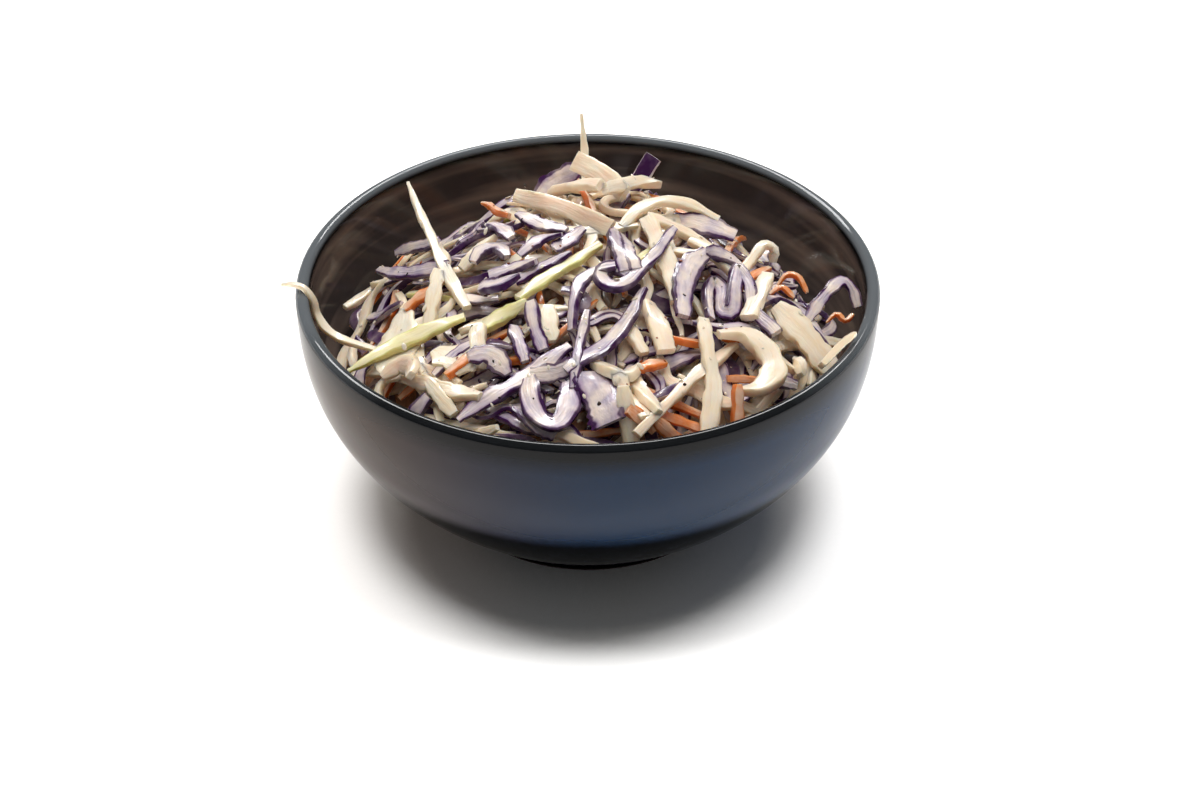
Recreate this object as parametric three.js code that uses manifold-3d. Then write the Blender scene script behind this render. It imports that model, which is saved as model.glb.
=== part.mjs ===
// Coleslaw heaped in a glazed bowl: one node for the bowl and one for the heap of shreds.
// Millimetres, +Z up, origin at the centre of the foot's underside. +Y is the back of the bowl.
import * as THREE from 'three';
import { mergeVertices } from 'three/addons/utils/BufferGeometryUtils.js';
import Module from 'manifold-3d';

const wasm = await Module();
wasm.setup();

// ---------------------------------------------------------------- driving dimensions

const BOWL_RADIUS = 70;
const BOWL_HEIGHT = 62;
const WALL = 3.3;
const LIP = WALL / 2;                  // the lip is a half round as thick as the wall
const RIM_Z = BOWL_HEIGHT - LIP;       // where the half round starts
const FOOT_RADIUS = 35;
const FOOT_INNER = 30.5;
const FOOT_HEIGHT = 5;
const FOOT_RECESS = 2.5;
const BELLY_RADIUS = 39;               // where the body leaves the foot
const FLOOR_Z = 8.5;
const FLOOR_RADIUS = 31;
const BOWL_FULLNESS = 2.45;            // power of the body's curve: higher is rounder below
const BOWL_SIDES = 52;
const CURVE_STEPS = 8;
const LIP_STEPS = 6;
const ROW_CROWDING = 1.7;              // power that draws rows together low on the wall

const GAP = 0.35;                      // air between the slaw and the bowl

const PEAK_X = 3;                      // the heap's top, a little behind the middle
const PEAK_Y = 12;
const PEAK_Z = 77;
const SHORE_RADIUS = 65;               // where the heap meets the wall
const SHORE_Z = 47;                    // its mean height there
const SHORE_TILT = 8.5;                // how much higher it is in front, and lower behind
const HEAP_POWER = 1.5;                // between a cone, 1, and a dome, 2
const CREST = { x: -4, y: 26, bend: 0.009 };  // behind this curved line in plan the heap falls faster
const BACK_FALL = 0.32;                // by this much more for each millimetre
const CORE_DEPTH = 3.2;                // the core lies this far under the heap's surface
const HOLLOW_DEPTH = 0.7;              // of the core's hollows, whose wavelengths follow
const HOLLOW_LENGTHS = { x: 33, y: 38, slant: 55 };
const CORE_SECTORS = 26;               // half the bowl's sides, so that both have corners in line
const CORE_RINGS = 10;
const WALL_ROWS = 7;                   // rows of corners down the wall

const CELL = 1;                        // the height map's spacing
const MAP_HALF = 76;
const MAP_SIDE = 2 * MAP_HALF / CELL + 1;

const STEP_LENGTH = 4.2;               // a shred is modelled in straight steps of about this length
const LEAST_STEPS = 4;
const SHRED_DEPTH = 2.2;               // the slicing blade's setting
const BEND_RADIUS = 22;                // no shred bends tighter than this as it sags
const DRAPE_PASSES = 40;
const PRESS = 0.5;                     // how far a shred sinks into what it lies on
const SLIM_END = 0.6;                  // a shred's ends are this share of its full width and depth
const SLIM_POWER = 0.5;                // low for ends that taper late
const FEEL_REACH = 0.35;               // a shred feels the ground this share of its width to each side
const STAMP_REACH = 0.45;              // and raises it this far
const SCATTERED = 40;                  // shreds placed by chance, besides the landmarks
const SHRED_LENGTH = { least: 15, most: 31 };
const SHRED_WIDTH = { least: 2.6, most: 4.4 };
const MOST_BOW = 0.35;                 // of a shred's length
const LOOSE_RISE = 5;                  // the most that a scattered shred's free end sticks up
const COVER_REACH = 4;                 // a shred counts as covering this far from its middle line
const TRIES = 40;                      // chance paths compared for each scattered shred
const SEED = 20;

// ---------------------------------------------------------------- landmark shreds

// Shreds that stand out: start, middle and end in plan, width, and the rise of the two free ends.
const LANDMARKS = {
  redUpperLeft: { way: [[-47, 16], [-41, 12], [-36, 8]], width: 3.0, rise: [1, 0] },
  redLeft: { way: [[-51, 11], [-45, -3], [-33, -6]], width: 3.4, rise: [1, 0] },
  leafLeft: { way: [[-46, -12], [-47, -22], [-44, -32]], width: 7.5, rise: [0, 0] },
  stripByReed: { way: [[-35, -8], [-36, -15], [-37, -22]], width: 3.2, rise: [0, 0] },
  greenStrip: { way: [[-53, -30], [-40, -27], [-24, -25]], width: 3.4, rise: [0, 0] },
  yellowStub: { way: [[-25, -25], [-20, -26], [-14, -25]], width: 4.2, rise: [0, 1] },
  whiteFork: { way: [[-43, -37], [-36, -43], [-24, -50]], width: 3.8, rise: [0, 0] },
  redWet: { way: [[-29, -54], [-20, -48], [-4, -37]], width: 4.6, rise: [0, 0] },
  frontU: { way: [[-13, -51], [-8, -62], [-3, -51]], width: 4.0, rise: [0, 0] },
  frontLeaf: { way: [[-2, -49], [1, -55], [3, -61]], width: 8.5, rise: [0, 0] },
  whiteHook: { way: [[1, -42], [6, -47], [9, -43]], width: 3.6, rise: [0, 0] },
  whiteFront: { way: [[11, -45], [14, -51], [16, -57]], width: 3.6, rise: [0, 0] },
  tanCross: { way: [[12, -61], [23, -46], [33, -32]], width: 2.6, rise: [0, 0] },
  whiteDown: { way: [[26, -31], [28, -43], [28, -56]], width: 4.4, rise: [0, 0] },
  creamLump: { way: [[33, -33], [38, -36], [37, -44]], width: 7.0, rise: [0, 0] },
  bigWhiteRight: { way: [[43, -21], [50, -25], [56, -24]], width: 6.4, rise: [0, 0] },
  redArchRight: { way: [[40, -17], [49, -12], [55, -21]], width: 3.0, rise: [0, 0] },
  redArcWall: { way: [[52, -9], [57, 3], [62, 6]], width: 3.0, rise: [0, 4] },
  stubRight: { way: [[43, -5], [40, -13], [36, -21]], width: 4.0, rise: [1, 0] },
  hookRight: { way: [[38, 0], [43, 7], [46, 2]], width: 2.8, rise: [0, 1] },
  foldA: { way: [[22, -24], [24, -16], [28, -11]], width: 3.8, rise: [0, 0] },
  foldB: { way: [[34, -9], [38, -16], [34, -25]], width: 4.2, rise: [0, 0] },
  longRight: { way: [[24, 0], [31, -4], [39, -11]], width: 3.2, rise: [0, 0] },
  redLeafBack: { way: [[19, 8], [27, 6], [36, 6]], width: 6.0, rise: [0, 1] },
  arch: { way: [[8, 2], [20, 16], [33, 12]], width: 3.0, rise: [0, 1] },
  whiteBlock: { way: [[15, -25], [16, -31], [17, -38]], width: 4.6, rise: [0, 0] },
  whiteSpine: { way: [[15, 1], [19, -10], [21, -22]], width: 4.0, rise: [0, 0] },
  redBarrel: { way: [[8, -3], [8, -9], [9, -16]], width: 6.0, rise: [0, 0] },
  redLong: { way: [[13, -21], [8, -33], [-5, -44]], width: 4.0, rise: [0, 0] },
  squiggle: { way: [[20, -3], [13, -16], [2, -22]], width: 3.4, rise: [0, 0] },
  yellowStrip: { way: [[-15, -22], [-7, -15], [2, -8]], width: 3.0, rise: [0, 0] },
  redBar: { way: [[-23, -12], [-18, -13], [-13, -13]], width: 3.4, rise: [0, 0] },
  wedge: { way: [[-16, 15], [-6, 8], [4, -1]], width: 4.2, rise: [3, 0] },
  peakWedge: { way: [[0, 25], [3, 19], [7, 12]], width: 5.0, rise: [5, 0] },
  peakPole: { way: [[17, 27], [11, 18], [4, 10]], width: 2.8, rise: [3, 0] },
  peakRed: { way: [[-13, 24], [-9, 25], [-4, 26]], width: 5.0, rise: [0, 2] },
  redUpright: { way: [[10, 24], [13, 26], [16, 28]], width: 4.2, rise: [0, 8] },
  reed: { way: [[-27, -21], [-36, -2], [-46, 24]], width: 2.6, rise: [0, 20] },
  leftRim: { way: [[-68.5, -6], [-59, -11], [-46, -21]], width: 2.4, rise: [0, 0] },
  sliver: { way: [[-1, 22], [-1, 31], [-1, 40]], width: 1.6, rise: [0, 20] },
};

// ---------------------------------------------------------------- bowl

// Radius of a bellied wall at height z, from `low` at z0 to `high` at z1.
function bellied(z, low, high, z0, z1) {
  const s = Math.min(Math.max((z - z0) / (z1 - z0), 0), 1);
  return low + (high - low) * (1 - (1 - s) ** BOWL_FULLNESS);
}

const outerRadius = (z) => bellied(z, BELLY_RADIUS, BOWL_RADIUS, FOOT_HEIGHT, RIM_Z);
const innerRadius = (z) => bellied(z, FLOOR_RADIUS, BOWL_RADIUS - WALL, FLOOR_Z, RIM_Z);

// Heights from z0 to z1, closer together near z0 where the wall curves most.
function wallHeights(z0, z1) {
  const share = (i) => (i / CURVE_STEPS) ** ROW_CROWDING;
  return Array.from({ length: CURVE_STEPS + 1 }, (_, i) => z0 + (z1 - z0) * share(i));
}

// The bowl's closed half section, grown by `skin` on every side.
function bowlProfile(skin) {
  const points = [[0, FOOT_RECESS - skin], [FOOT_INNER - skin, FOOT_RECESS - skin], [FOOT_INNER - skin, -skin],
    [FOOT_RADIUS + skin, -skin], [FOOT_RADIUS + skin, FOOT_HEIGHT - skin]];
  for (const z of wallHeights(FOOT_HEIGHT, RIM_Z)) points.push([outerRadius(z) + skin, z]);
  for (let i = 1; i < LIP_STEPS; i++) {
    const turn = Math.PI * i / LIP_STEPS;
    const reach = LIP + skin;
    points.push([BOWL_RADIUS - LIP + reach * Math.cos(turn), RIM_Z + reach * Math.sin(turn)]);
  }
  for (const z of wallHeights(FLOOR_Z, RIM_Z).reverse()) points.push([innerRadius(z) - skin, z + skin]);
  points.push([0, FLOOR_Z + skin]);
  return points.map(([r, z]) => new THREE.Vector2(r, z));
}

function bowlGeometry(skin) {
  return new THREE.LatheGeometry(bowlProfile(skin), BOWL_SIDES).rotateX(Math.PI / 2);
}

// ---------------------------------------------------------------- solids

function toSolid(geometry) {
  const bare = geometry.clone();
  bare.deleteAttribute('normal');
  bare.deleteAttribute('uv');
  const merged = mergeVertices(bare, 1e-4);
  const corners = merged.index.array;
  const kept = [];
  for (let i = 0; i < corners.length; i += 3) {
    const [a, b, c] = [corners[i], corners[i + 1], corners[i + 2]];
    if (a !== b && b !== c && c !== a) kept.push(a, b, c);
  }
  return new wasm.Manifold(new wasm.Mesh({
    numProp: 3,
    vertProperties: new Float32Array(merged.attributes.position.array),
    triVerts: new Uint32Array(kept),
  }));
}

// The outermost shell of a solid: loose scraps and sealed hollows are shells of their own, and are left out.
function toGeometry(solid) {
  const mesh = solid.getMesh();
  const place = (v) => new THREE.Vector3(...mesh.vertProperties.subarray(3 * v, 3 * v + 3));
  const shellOf = Int32Array.from({ length: mesh.numVert }, (_, v) => v);
  const rootOf = (v) => {
    let root = v;
    while (shellOf[root] !== root) root = shellOf[root] = shellOf[shellOf[root]];
    return root;
  };
  const triangles = Array.from({ length: mesh.numTri }, (_, t) => [...mesh.triVerts.subarray(3 * t, 3 * t + 3)]);
  for (const [a, b, c] of triangles) {
    shellOf[rootOf(a)] = rootOf(b);
    shellOf[rootOf(b)] = rootOf(c);
  }
  const volumes = new Map();
  for (const [a, b, c] of triangles) {
    const volume = place(a).dot(place(b).cross(place(c))) / 6;
    volumes.set(rootOf(a), (volumes.get(rootOf(a)) ?? 0) + volume);
  }
  const [outer] = [...volumes].sort((one, other) => other[1] - one[1])[0];
  const geometry = new THREE.BufferGeometry();
  geometry.setAttribute('position', new THREE.BufferAttribute(new Float32Array(mesh.vertProperties), 3));
  geometry.setIndex(triangles.filter(([a]) => rootOf(a) === outer).flat());
  return geometry;
}

// ---------------------------------------------------------------- the heap's surface

// Height of the heap: it falls from the peak to the shore along the line from the peak through (x, y).
function heapHeight(x, y) {
  const dx = x - PEAK_X;
  const dy = y - PEAK_Y;
  const away = Math.hypot(dx, dy) || 1e-6;
  const along = (PEAK_X * dx + PEAK_Y * dy) / away;
  const reach = -along + Math.sqrt(along ** 2 + SHORE_RADIUS ** 2 - PEAK_X ** 2 - PEAK_Y ** 2);
  const shore = SHORE_Z - SHORE_TILT * dy / away;
  const behind = Math.max(0, y - CREST.y + CREST.bend * (x - CREST.x) ** 2);
  return shore + (PEAK_Z - shore) * (1 - Math.min(away / reach, 1) ** HEAP_POWER) - BACK_FALL * behind;
}

// The core's top: the heap lowered by its depth, with hollows a few shreds across.
function coreHeight(x, y) {
  const phase = (v, length) => 2 * Math.PI * v / length;
  const hollows = Math.sin(phase(x, HOLLOW_LENGTHS.x) + 1) * Math.cos(phase(y, HOLLOW_LENGTHS.y))
    + Math.sin(phase(x + y, HOLLOW_LENGTHS.slant));
  return heapHeight(x, y) - CORE_DEPTH + HOLLOW_DEPTH * hollows;
}

// The core: rings of points over the top and down along the bowl's wall, closed at both poles.
function coreGeometry() {
  const rows = [];
  const polar = (radius, angle) => [radius * Math.cos(angle), radius * Math.sin(angle)];
  for (let i = 1; i < CORE_RINGS; i++) rows.push((angle) => {
    const [x, y] = polar(SHORE_RADIUS * i / CORE_RINGS, angle);
    return [x, y, coreHeight(x, y)];
  });
  for (let i = 0; i <= WALL_ROWS; i++) rows.push((angle) => {
    const shoreZ = coreHeight(...polar(SHORE_RADIUS, angle));
    const bed = FLOOR_Z + GAP;
    const z = bed + (shoreZ - bed) * (1 - i / WALL_ROWS) ** ROW_CROWDING;
    return [...polar(innerRadius(z) - 2 * GAP, angle), z];
  });
  const places = [0, 0, coreHeight(0, 0)];
  for (const row of rows) {
    for (let j = 0; j < CORE_SECTORS; j++) places.push(...row(2 * Math.PI * j / CORE_SECTORS));
  }
  const bottom = places.length / 3;
  places.push(0, 0, FLOOR_Z + GAP);
  const faces = [];
  const at = (i, j) => 1 + i * CORE_SECTORS + j % CORE_SECTORS;
  for (let j = 0; j < CORE_SECTORS; j++) {
    faces.push(0, at(0, j), at(0, j + 1));
    for (let i = 0; i < rows.length - 1; i++) {
      faces.push(at(i, j), at(i + 1, j), at(i + 1, j + 1), at(i, j), at(i + 1, j + 1), at(i, j + 1));
    }
    faces.push(bottom, at(rows.length - 1, j + 1), at(rows.length - 1, j));
  }
  const geometry = new THREE.BufferGeometry();
  geometry.setAttribute('position', new THREE.Float32BufferAttribute(places, 3));
  geometry.setIndex(faces);
  return geometry;
}

// ---------------------------------------------------------------- height map that the shreds are laid on

const ground = new Float32Array(MAP_SIDE ** 2);
const cellAt = (v) => Math.min(Math.max(Math.round((v + MAP_HALF) / CELL), 0), MAP_SIDE - 1);
const placeOf = (i) => i * CELL - MAP_HALF;

for (let i = 0; i < MAP_SIDE; i++) {
  for (let j = 0; j < MAP_SIDE; j++) {
    const [x, y] = [placeOf(i), placeOf(j)];
    const radius = Math.hypot(x, y);
    const overLip = radius > BOWL_RADIUS - WALL - 1 && radius < BOWL_RADIUS + 1;
    ground[i * MAP_SIDE + j] = radius < SHORE_RADIUS ? coreHeight(x, y) : overLip ? BOWL_HEIGHT + GAP : SHORE_Z;
  }
}

// Calls `visit` for each cell within `half` of the place (x, y).
function eachCell(x, y, half, visit) {
  for (let i = cellAt(x - half); i <= cellAt(x + half); i++) {
    for (let j = cellAt(y - half); j <= cellAt(y + half); j++) {
      if (Math.hypot(placeOf(i) - x, placeOf(j) - y) <= half) visit(i * MAP_SIDE + j);
    }
  }
}

// Heights of a shred's underside: the ground under it, bridged so that it bends no tighter than a shred can.
function drape(path, width) {
  const step = Math.hypot(path[1][0] - path[0][0], path[1][1] - path[0][1]);
  const sag = step ** 2 / (2 * BEND_RADIUS);
  const z = path.map(([x, y]) => {
    let highest = ground[cellAt(x) * MAP_SIDE + cellAt(y)];
    eachCell(x, y, width * FEEL_REACH, (cell) => { highest = Math.max(highest, ground[cell]); });
    return highest;
  });
  for (let pass = 0; pass < DRAPE_PASSES; pass++) {
    for (let i = 1; i < z.length - 1; i++) z[i] = Math.max(z[i], (z[i - 1] + z[i + 1]) / 2 - sag);
  }
  return z;
}

// One shred: a four-sided strip along `path`, slimmer at its ends, laid on the ground, which it then raises.
function layShred(path, width, rise) {
  const last = path.length - 1;
  const under = drape(path, width);
  const centre = path.map(([x, y], i) => {
    const t = i / last;
    const lifted = rise[0] * (1 - t) ** 2 + rise[1] * t ** 2;
    return new THREE.Vector3(x, y, under[i] + lifted + SHRED_DEPTH / 2 - PRESS);
  });
  const places = [];
  centre.forEach((p, i) => {
    const ahead = centre[Math.min(i + 1, last)].clone().sub(centre[Math.max(i - 1, 0)]).normalize();
    const side = new THREE.Vector3(-ahead.y, ahead.x, 0).normalize();
    const up = new THREE.Vector3().crossVectors(ahead, side);
    const slim = SLIM_END + (1 - SLIM_END) * Math.sin(Math.PI * i / last) ** SLIM_POWER;
    for (const [a, b] of [[1, -1], [-1, -1], [-1, 1], [1, 1]]) {
      const corner = p.clone().addScaledVector(side, a * width * slim / 2);
      corner.addScaledVector(up, b * SHRED_DEPTH * slim / 2);
      places.push(corner.x, corner.y, corner.z);
    }
  });
  const faces = [0, 1, 2, 0, 2, 3];
  for (let i = 0; i < last; i++) {
    for (let k = 0; k < 4; k++) {
      const [a, b] = [4 * i + k, 4 * i + (k + 1) % 4];
      faces.push(a, a + 4, b + 4, a, b + 4, b);
    }
  }
  const end = 4 * last;
  faces.push(end, end + 2, end + 1, end, end + 3, end + 2);
  centre.forEach((p) => eachCell(p.x, p.y, width * STAMP_REACH, (cell) => {
    ground[cell] = Math.max(ground[cell], p.z + SHRED_DEPTH / 2);
  }));
  const geometry = new THREE.BufferGeometry();
  geometry.setAttribute('position', new THREE.Float32BufferAttribute(places, 3));
  geometry.setIndex(faces);
  return geometry;
}

// A curve through three places in plan, as steps of equal share.
function throughThree([from, middle, to]) {
  const bend = [0, 1].map((k) => 2 * middle[k] - (from[k] + to[k]) / 2);
  const curve = new THREE.QuadraticBezierCurve(new THREE.Vector2(...from), new THREE.Vector2(...bend),
    new THREE.Vector2(...to));
  const steps = Math.max(LEAST_STEPS, Math.round(curve.getLength() / STEP_LENGTH));
  return curve.getSpacedPoints(steps).map((p) => [p.x, p.y]);
}

// ---------------------------------------------------------------- scattered shreds

// Seeded random numbers from 0 to 1.
function randomFrom(seed) {
  let state = seed;
  return () => {
    state = (state + 0x6d2b79f5) | 0;
    let t = Math.imul(state ^ (state >>> 15), 1 | state);
    t = (t + Math.imul(t ^ (t >>> 7), 61 | t)) ^ t;
    return ((t ^ (t >>> 14)) >>> 0) / 4294967296;
  };
}

// A bent path with its middle anywhere on the heap, heading any way.
function scatteredPath(random) {
  const radius = (SHORE_RADIUS - SHRED_LENGTH.least / 2) * Math.sqrt(random());
  const turn = 2 * Math.PI * random();
  const [cx, cy] = [radius * Math.cos(turn), radius * Math.sin(turn)];
  const length = SHRED_LENGTH.least + (SHRED_LENGTH.most - SHRED_LENGTH.least) * random();
  const heading = 2 * Math.PI * random();
  const bow = length * MOST_BOW * (2 * random() - 1);
  const [ux, uy] = [Math.cos(heading) * length / 2, Math.sin(heading) * length / 2];
  const bowed = [cx - bow * Math.sin(heading), cy + bow * Math.cos(heading)];
  return throughThree([[cx - ux, cy - uy], bowed, [cx + ux, cy + uy]]);
}

const fitsInBowl = (path) => path.every(([x, y]) => Math.hypot(x, y) < SHORE_RADIUS);

// How many shreds already cover each cell.
const crowd = new Float32Array(MAP_SIDE ** 2);

function countCover(path) {
  for (const [x, y] of path) eachCell(x, y, COVER_REACH, (cell) => { crowd[cell] += 1; });
}

const crowding = (path) => path.reduce((sum, [x, y]) => sum + crowd[cellAt(x) * MAP_SIDE + cellAt(y)], 0)
  / path.length;

// Of several chance paths that fit in the bowl, the one over the barest ground.
function barestPath(random) {
  const tries = Array.from({ length: TRIES }, () => scatteredPath(random)).filter(fitsInBowl);
  return tries.reduce((best, path) => (crowding(path) < crowding(best) ? path : best));
}

function slawGeometry() {
  const random = randomFrom(SEED);
  const landmarks = Object.values(LANDMARKS).map(({ way, ...cut }) => ({ path: throughThree(way), ...cut }));
  for (const { path } of landmarks) countCover(path);
  const scattered = Array.from({ length: SCATTERED }, () => {
    const path = barestPath(random);
    countCover(path);
    const width = SHRED_WIDTH.least + (SHRED_WIDTH.most - SHRED_WIDTH.least) * random();
    return { path, width, rise: [0, LOOSE_RISE * random() ** 3] };
  });
  const shreds = [...scattered, ...landmarks].map(({ path, width, rise }) => layShred(path, width, rise));
  let heap = toSolid(coreGeometry());
  for (const shred of shreds) heap = heap.add(toSolid(shred));
  return toGeometry(heap.subtract(toSolid(bowlGeometry(GAP))));
}

// ---------------------------------------------------------------- the object

const glaze = new THREE.MeshStandardMaterial({ color: 0x1b1d22, roughness: 0.12, metalness: 0 });
const dressedCabbage = new THREE.MeshStandardMaterial({ color: 0xe2d3c2, roughness: 0.35, metalness: 0 });

const bowl = new THREE.Mesh(bowlGeometry(0), glaze);
bowl.name = 'bowl';

const coleslaw = new THREE.Mesh(slawGeometry(), dressedCabbage);
coleslaw.name = 'coleslaw';

const dish = new THREE.Group();
dish.add(bowl, coleslaw);

export default dish;
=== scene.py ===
# %% [markdown]
# # Coleslaw in a black bowl
# Sliced red and white cabbage and carrot in a creamy dressing, heaped in a glazed bowl. The CAD model gives
# the bowl's size and the heap's outline. This notebook replaces its faceted solids with smooth ones: a bowl
# turned from the same curve, and some hundreds of shreds laid down one after another.

# %% Load the frame
import functools
import math

import bpy
import numpy as np
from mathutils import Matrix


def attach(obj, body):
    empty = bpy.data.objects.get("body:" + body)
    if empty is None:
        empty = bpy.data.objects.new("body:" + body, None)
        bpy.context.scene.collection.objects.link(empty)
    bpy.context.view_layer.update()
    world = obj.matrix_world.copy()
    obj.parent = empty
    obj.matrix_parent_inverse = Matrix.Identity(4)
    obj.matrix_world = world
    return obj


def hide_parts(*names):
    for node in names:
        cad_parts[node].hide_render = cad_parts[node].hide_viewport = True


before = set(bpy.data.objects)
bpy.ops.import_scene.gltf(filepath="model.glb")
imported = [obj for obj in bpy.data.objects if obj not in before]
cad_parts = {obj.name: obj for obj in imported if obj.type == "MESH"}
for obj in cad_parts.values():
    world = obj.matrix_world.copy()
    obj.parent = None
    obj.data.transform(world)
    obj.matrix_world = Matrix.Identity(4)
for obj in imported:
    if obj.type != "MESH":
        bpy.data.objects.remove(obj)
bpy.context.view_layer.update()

MM = 0.001  # everything below is worked out in millimetres
TURN = 2 * math.pi
SEED = 7  # any other number gives another heap of the same kind
scene = bpy.context.scene
rng = np.random.default_rng(SEED)

# %% [markdown]
# ## Small helpers
# Colours are written as sRGB hex, the way a colour picker shows them, and Cycles wants linear light, so one
# function converts them. Another gives a pattern's scale from its real size, one adds a shader node with
# its settings and links, and one starts a material. Inputs of a node that share a name go by number: in Map
# Range, 1 and 2 are the range that comes in, and 3 and 4 the one that goes out, and in Mix, 6 and 7 are the
# two colours. The last two helpers make a mesh from whole numpy arrays at once, which is far quicker than
# adding vertices one by one.

# %% Helpers
def linear(hex_colour):
    """sRGB hex to linear RGBA: below 0.04045 divide by 12.92, above it ((c + 0.055) / 1.055) to the 2.4."""
    c = np.array([int(hex_colour[i:i + 2], 16) for i in (1, 3, 5)]) / 255
    c = np.where(c <= 0.04045, c / 12.92, ((c + 0.055) / 1.055) ** 2.4)
    return (*c.tolist(), 1.0)


def every(size):
    """Scale of a pattern on Object coordinates, which are metres, from the size in mm at which it repeats."""
    return 1 / (size * MM)


def add_node(tree, kind, inputs=None, **settings):
    """Adds a node: settings are its properties. Inputs, by name or index, are values, sockets to link, or
    nodes whose first output in use is linked."""
    made = tree.nodes.new("ShaderNode" + kind)
    for key, value in settings.items():
        setattr(made, key, value)
    for key, value in (inputs or {}).items():
        if isinstance(value, bpy.types.Node):
            value = next(socket for socket in value.outputs if socket.enabled)
        if isinstance(value, bpy.types.NodeSocket):
            tree.links.new(value, made.inputs[key])
        else:
            made.inputs[key].default_value = value
    return made


def new_material(name):
    """An empty node material, the function that adds a node to it, and its Object coordinates."""
    material = bpy.data.materials.new(name)
    material.use_nodes = True
    material.node_tree.nodes.clear()
    add = functools.partial(add_node, material.node_tree)
    return material, add, add("TexCoord").outputs["Object"]


def make_piece(name, points, quads, material, attributes=None, crease=180):
    """A mesh object from points in mm (n by 3) and quads (m by 4), with float attributes on its points. It is
    smooth except where faces meet at more than the crease angle in degrees."""
    mesh = bpy.data.meshes.new(name)
    mesh.vertices.add(len(points))
    mesh.vertices.foreach_set("co", (np.asarray(points) * MM).ravel())
    mesh.loops.add(quads.size)
    mesh.loops.foreach_set("vertex_index", quads.ravel().astype(np.int32))
    mesh.polygons.add(len(quads))
    mesh.polygons.foreach_set("loop_start", np.arange(0, quads.size, 4, dtype=np.int32))
    mesh.update(calc_edges=True)
    for key, values in (attributes or {}).items():
        mesh.attributes.new(key, "FLOAT", "POINT").data.foreach_set("value", np.asarray(values, np.float32))
    mesh.materials.append(material)
    mesh.shade_smooth()
    mesh.set_sharp_from_angle(angle=math.radians(crease))
    piece = bpy.data.objects.new(name, mesh)
    scene.collection.objects.link(piece)
    print(f"{name}: {len(points)} points, {2 * len(quads)} triangles")
    return piece


def tube_quads(rows, columns):
    """Quads of a tube made of rings of an even number of points, each end closed by rungs across it."""
    i, j = np.meshgrid(np.arange(rows - 1), np.arange(columns), indexing="ij")
    k = (j + 1) % columns
    wall = np.stack([i * columns + j, i * columns + k, (i + 1) * columns + k, (i + 1) * columns + j], -1)
    rung = np.arange(columns // 2 - 1)
    cap = np.stack([rung, rung + 1, columns - 2 - rung, columns - 1 - rung], -1)
    return np.vstack([wall.reshape(-1, 4), cap[:, ::-1], cap + (rows - 1) * columns])


print("mid grey in linear light:", linear("#808080"))

# %% [markdown]
# ## The bowl
# The real bowl is thrown stoneware, dipped in black glaze. A bowl is round, so a profile turned about the
# axis makes it. The Screw modifier could do that, but a formula gives the CAD model's own curve and a point
# count that suits the gloss: a mirror-like surface shows every flat facet in its reflections.

# %% Bowl profile
BOWL_RADIUS, BOWL_HEIGHT, WALL = 70.0, 62.0, 3.3
LIP = WALL / 2
RIM_Z = BOWL_HEIGHT - LIP
FOOT_RADIUS, FOOT_INNER, FOOT_HEIGHT, FOOT_RECESS, FOOT_EDGE = 35.0, 30.5, 5.0, 2.5, 0.5
BELLY_RADIUS, FLOOR_RADIUS, FLOOR_Z, FULLNESS = 39.0, 31.0, 8.5, 2.45
BOWL_SIDES, BODY_ROWS, LIP_ROWS = 180, 40, 14
CROWDING = 1.7  # rows crowd towards the foot, where the wall bends most
HUB, FLOOR_DIP = 0.5, 0.1  # radius of the ring that closes the bowl at its axis, and how low it lies inside
FLAT_FLOOR = 0.6  # share of the floor's radius that is level
BEVEL_IN, BEVEL_DOWN = 2, 0.5  # where the recess under the foot meets the ring
FOOT_FLARE = [(0, -1.2), (0.6, -0.4), (2, 0)]  # how the foot's outside runs out into the body


def bellied(z, low, high, z0):
    """Radius at height z: from low to high as 1 minus (1 - s) to a power, where s runs from z0 to the rim."""
    s = np.clip((z - z0) / (RIM_Z - z0), 0, 1)
    return low + (high - low) * (1 - (1 - s) ** FULLNESS)


def inner_radius(z):
    """Radius of the bowl's inside at height z."""
    return bellied(z, FLOOR_RADIUS, BOWL_RADIUS - WALL, FLOOR_Z)


def arc(centre, radius, start, end, steps):
    """Points of a circle's arc, with angles in degrees."""
    turn = np.radians(np.linspace(start, end, steps))
    return np.c_[centre[0] + radius * np.cos(turn), centre[1] + radius * np.sin(turn)]


def circle(sides):
    """Points of a unit circle, one a row."""
    turn = TURN * np.arange(sides) / sides
    return np.c_[np.cos(turn), np.sin(turn)]


def bowl_profile():
    """Half section from the axis under the foot, out, up the body, over the lip, down inside, to the axis."""
    share = np.linspace(0, 1, BODY_ROWS) ** CROWDING
    out_z = FOOT_HEIGHT + (RIM_Z - FOOT_HEIGHT) * share
    in_z = FLOOR_Z + (RIM_Z - FLOOR_Z) * share[::-1]
    parts = [
        [[HUB, FOOT_RECESS], [FOOT_INNER - BEVEL_IN, FOOT_RECESS], [FOOT_INNER, FOOT_RECESS - BEVEL_DOWN]],
        arc((FOOT_INNER + FOOT_EDGE, FOOT_EDGE), FOOT_EDGE, 180, 270, 5),
        arc((FOOT_RADIUS - FOOT_EDGE, FOOT_EDGE), FOOT_EDGE, 270, 360, 5),
        [[FOOT_RADIUS + out, FOOT_HEIGHT + up] for out, up in FOOT_FLARE],
        np.c_[bellied(out_z, BELLY_RADIUS, BOWL_RADIUS, FOOT_HEIGHT), out_z],
        arc((BOWL_RADIUS - LIP, RIM_Z), LIP, 0, 180, LIP_ROWS)[1:-1],
        np.c_[inner_radius(in_z), in_z],
        [[FLOOR_RADIUS * FLAT_FLOOR, FLOOR_Z - FLOOR_DIP], [HUB, FLOOR_Z - FLOOR_DIP]],
    ]
    return np.concatenate([np.asarray(part, float) for part in parts])


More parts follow.
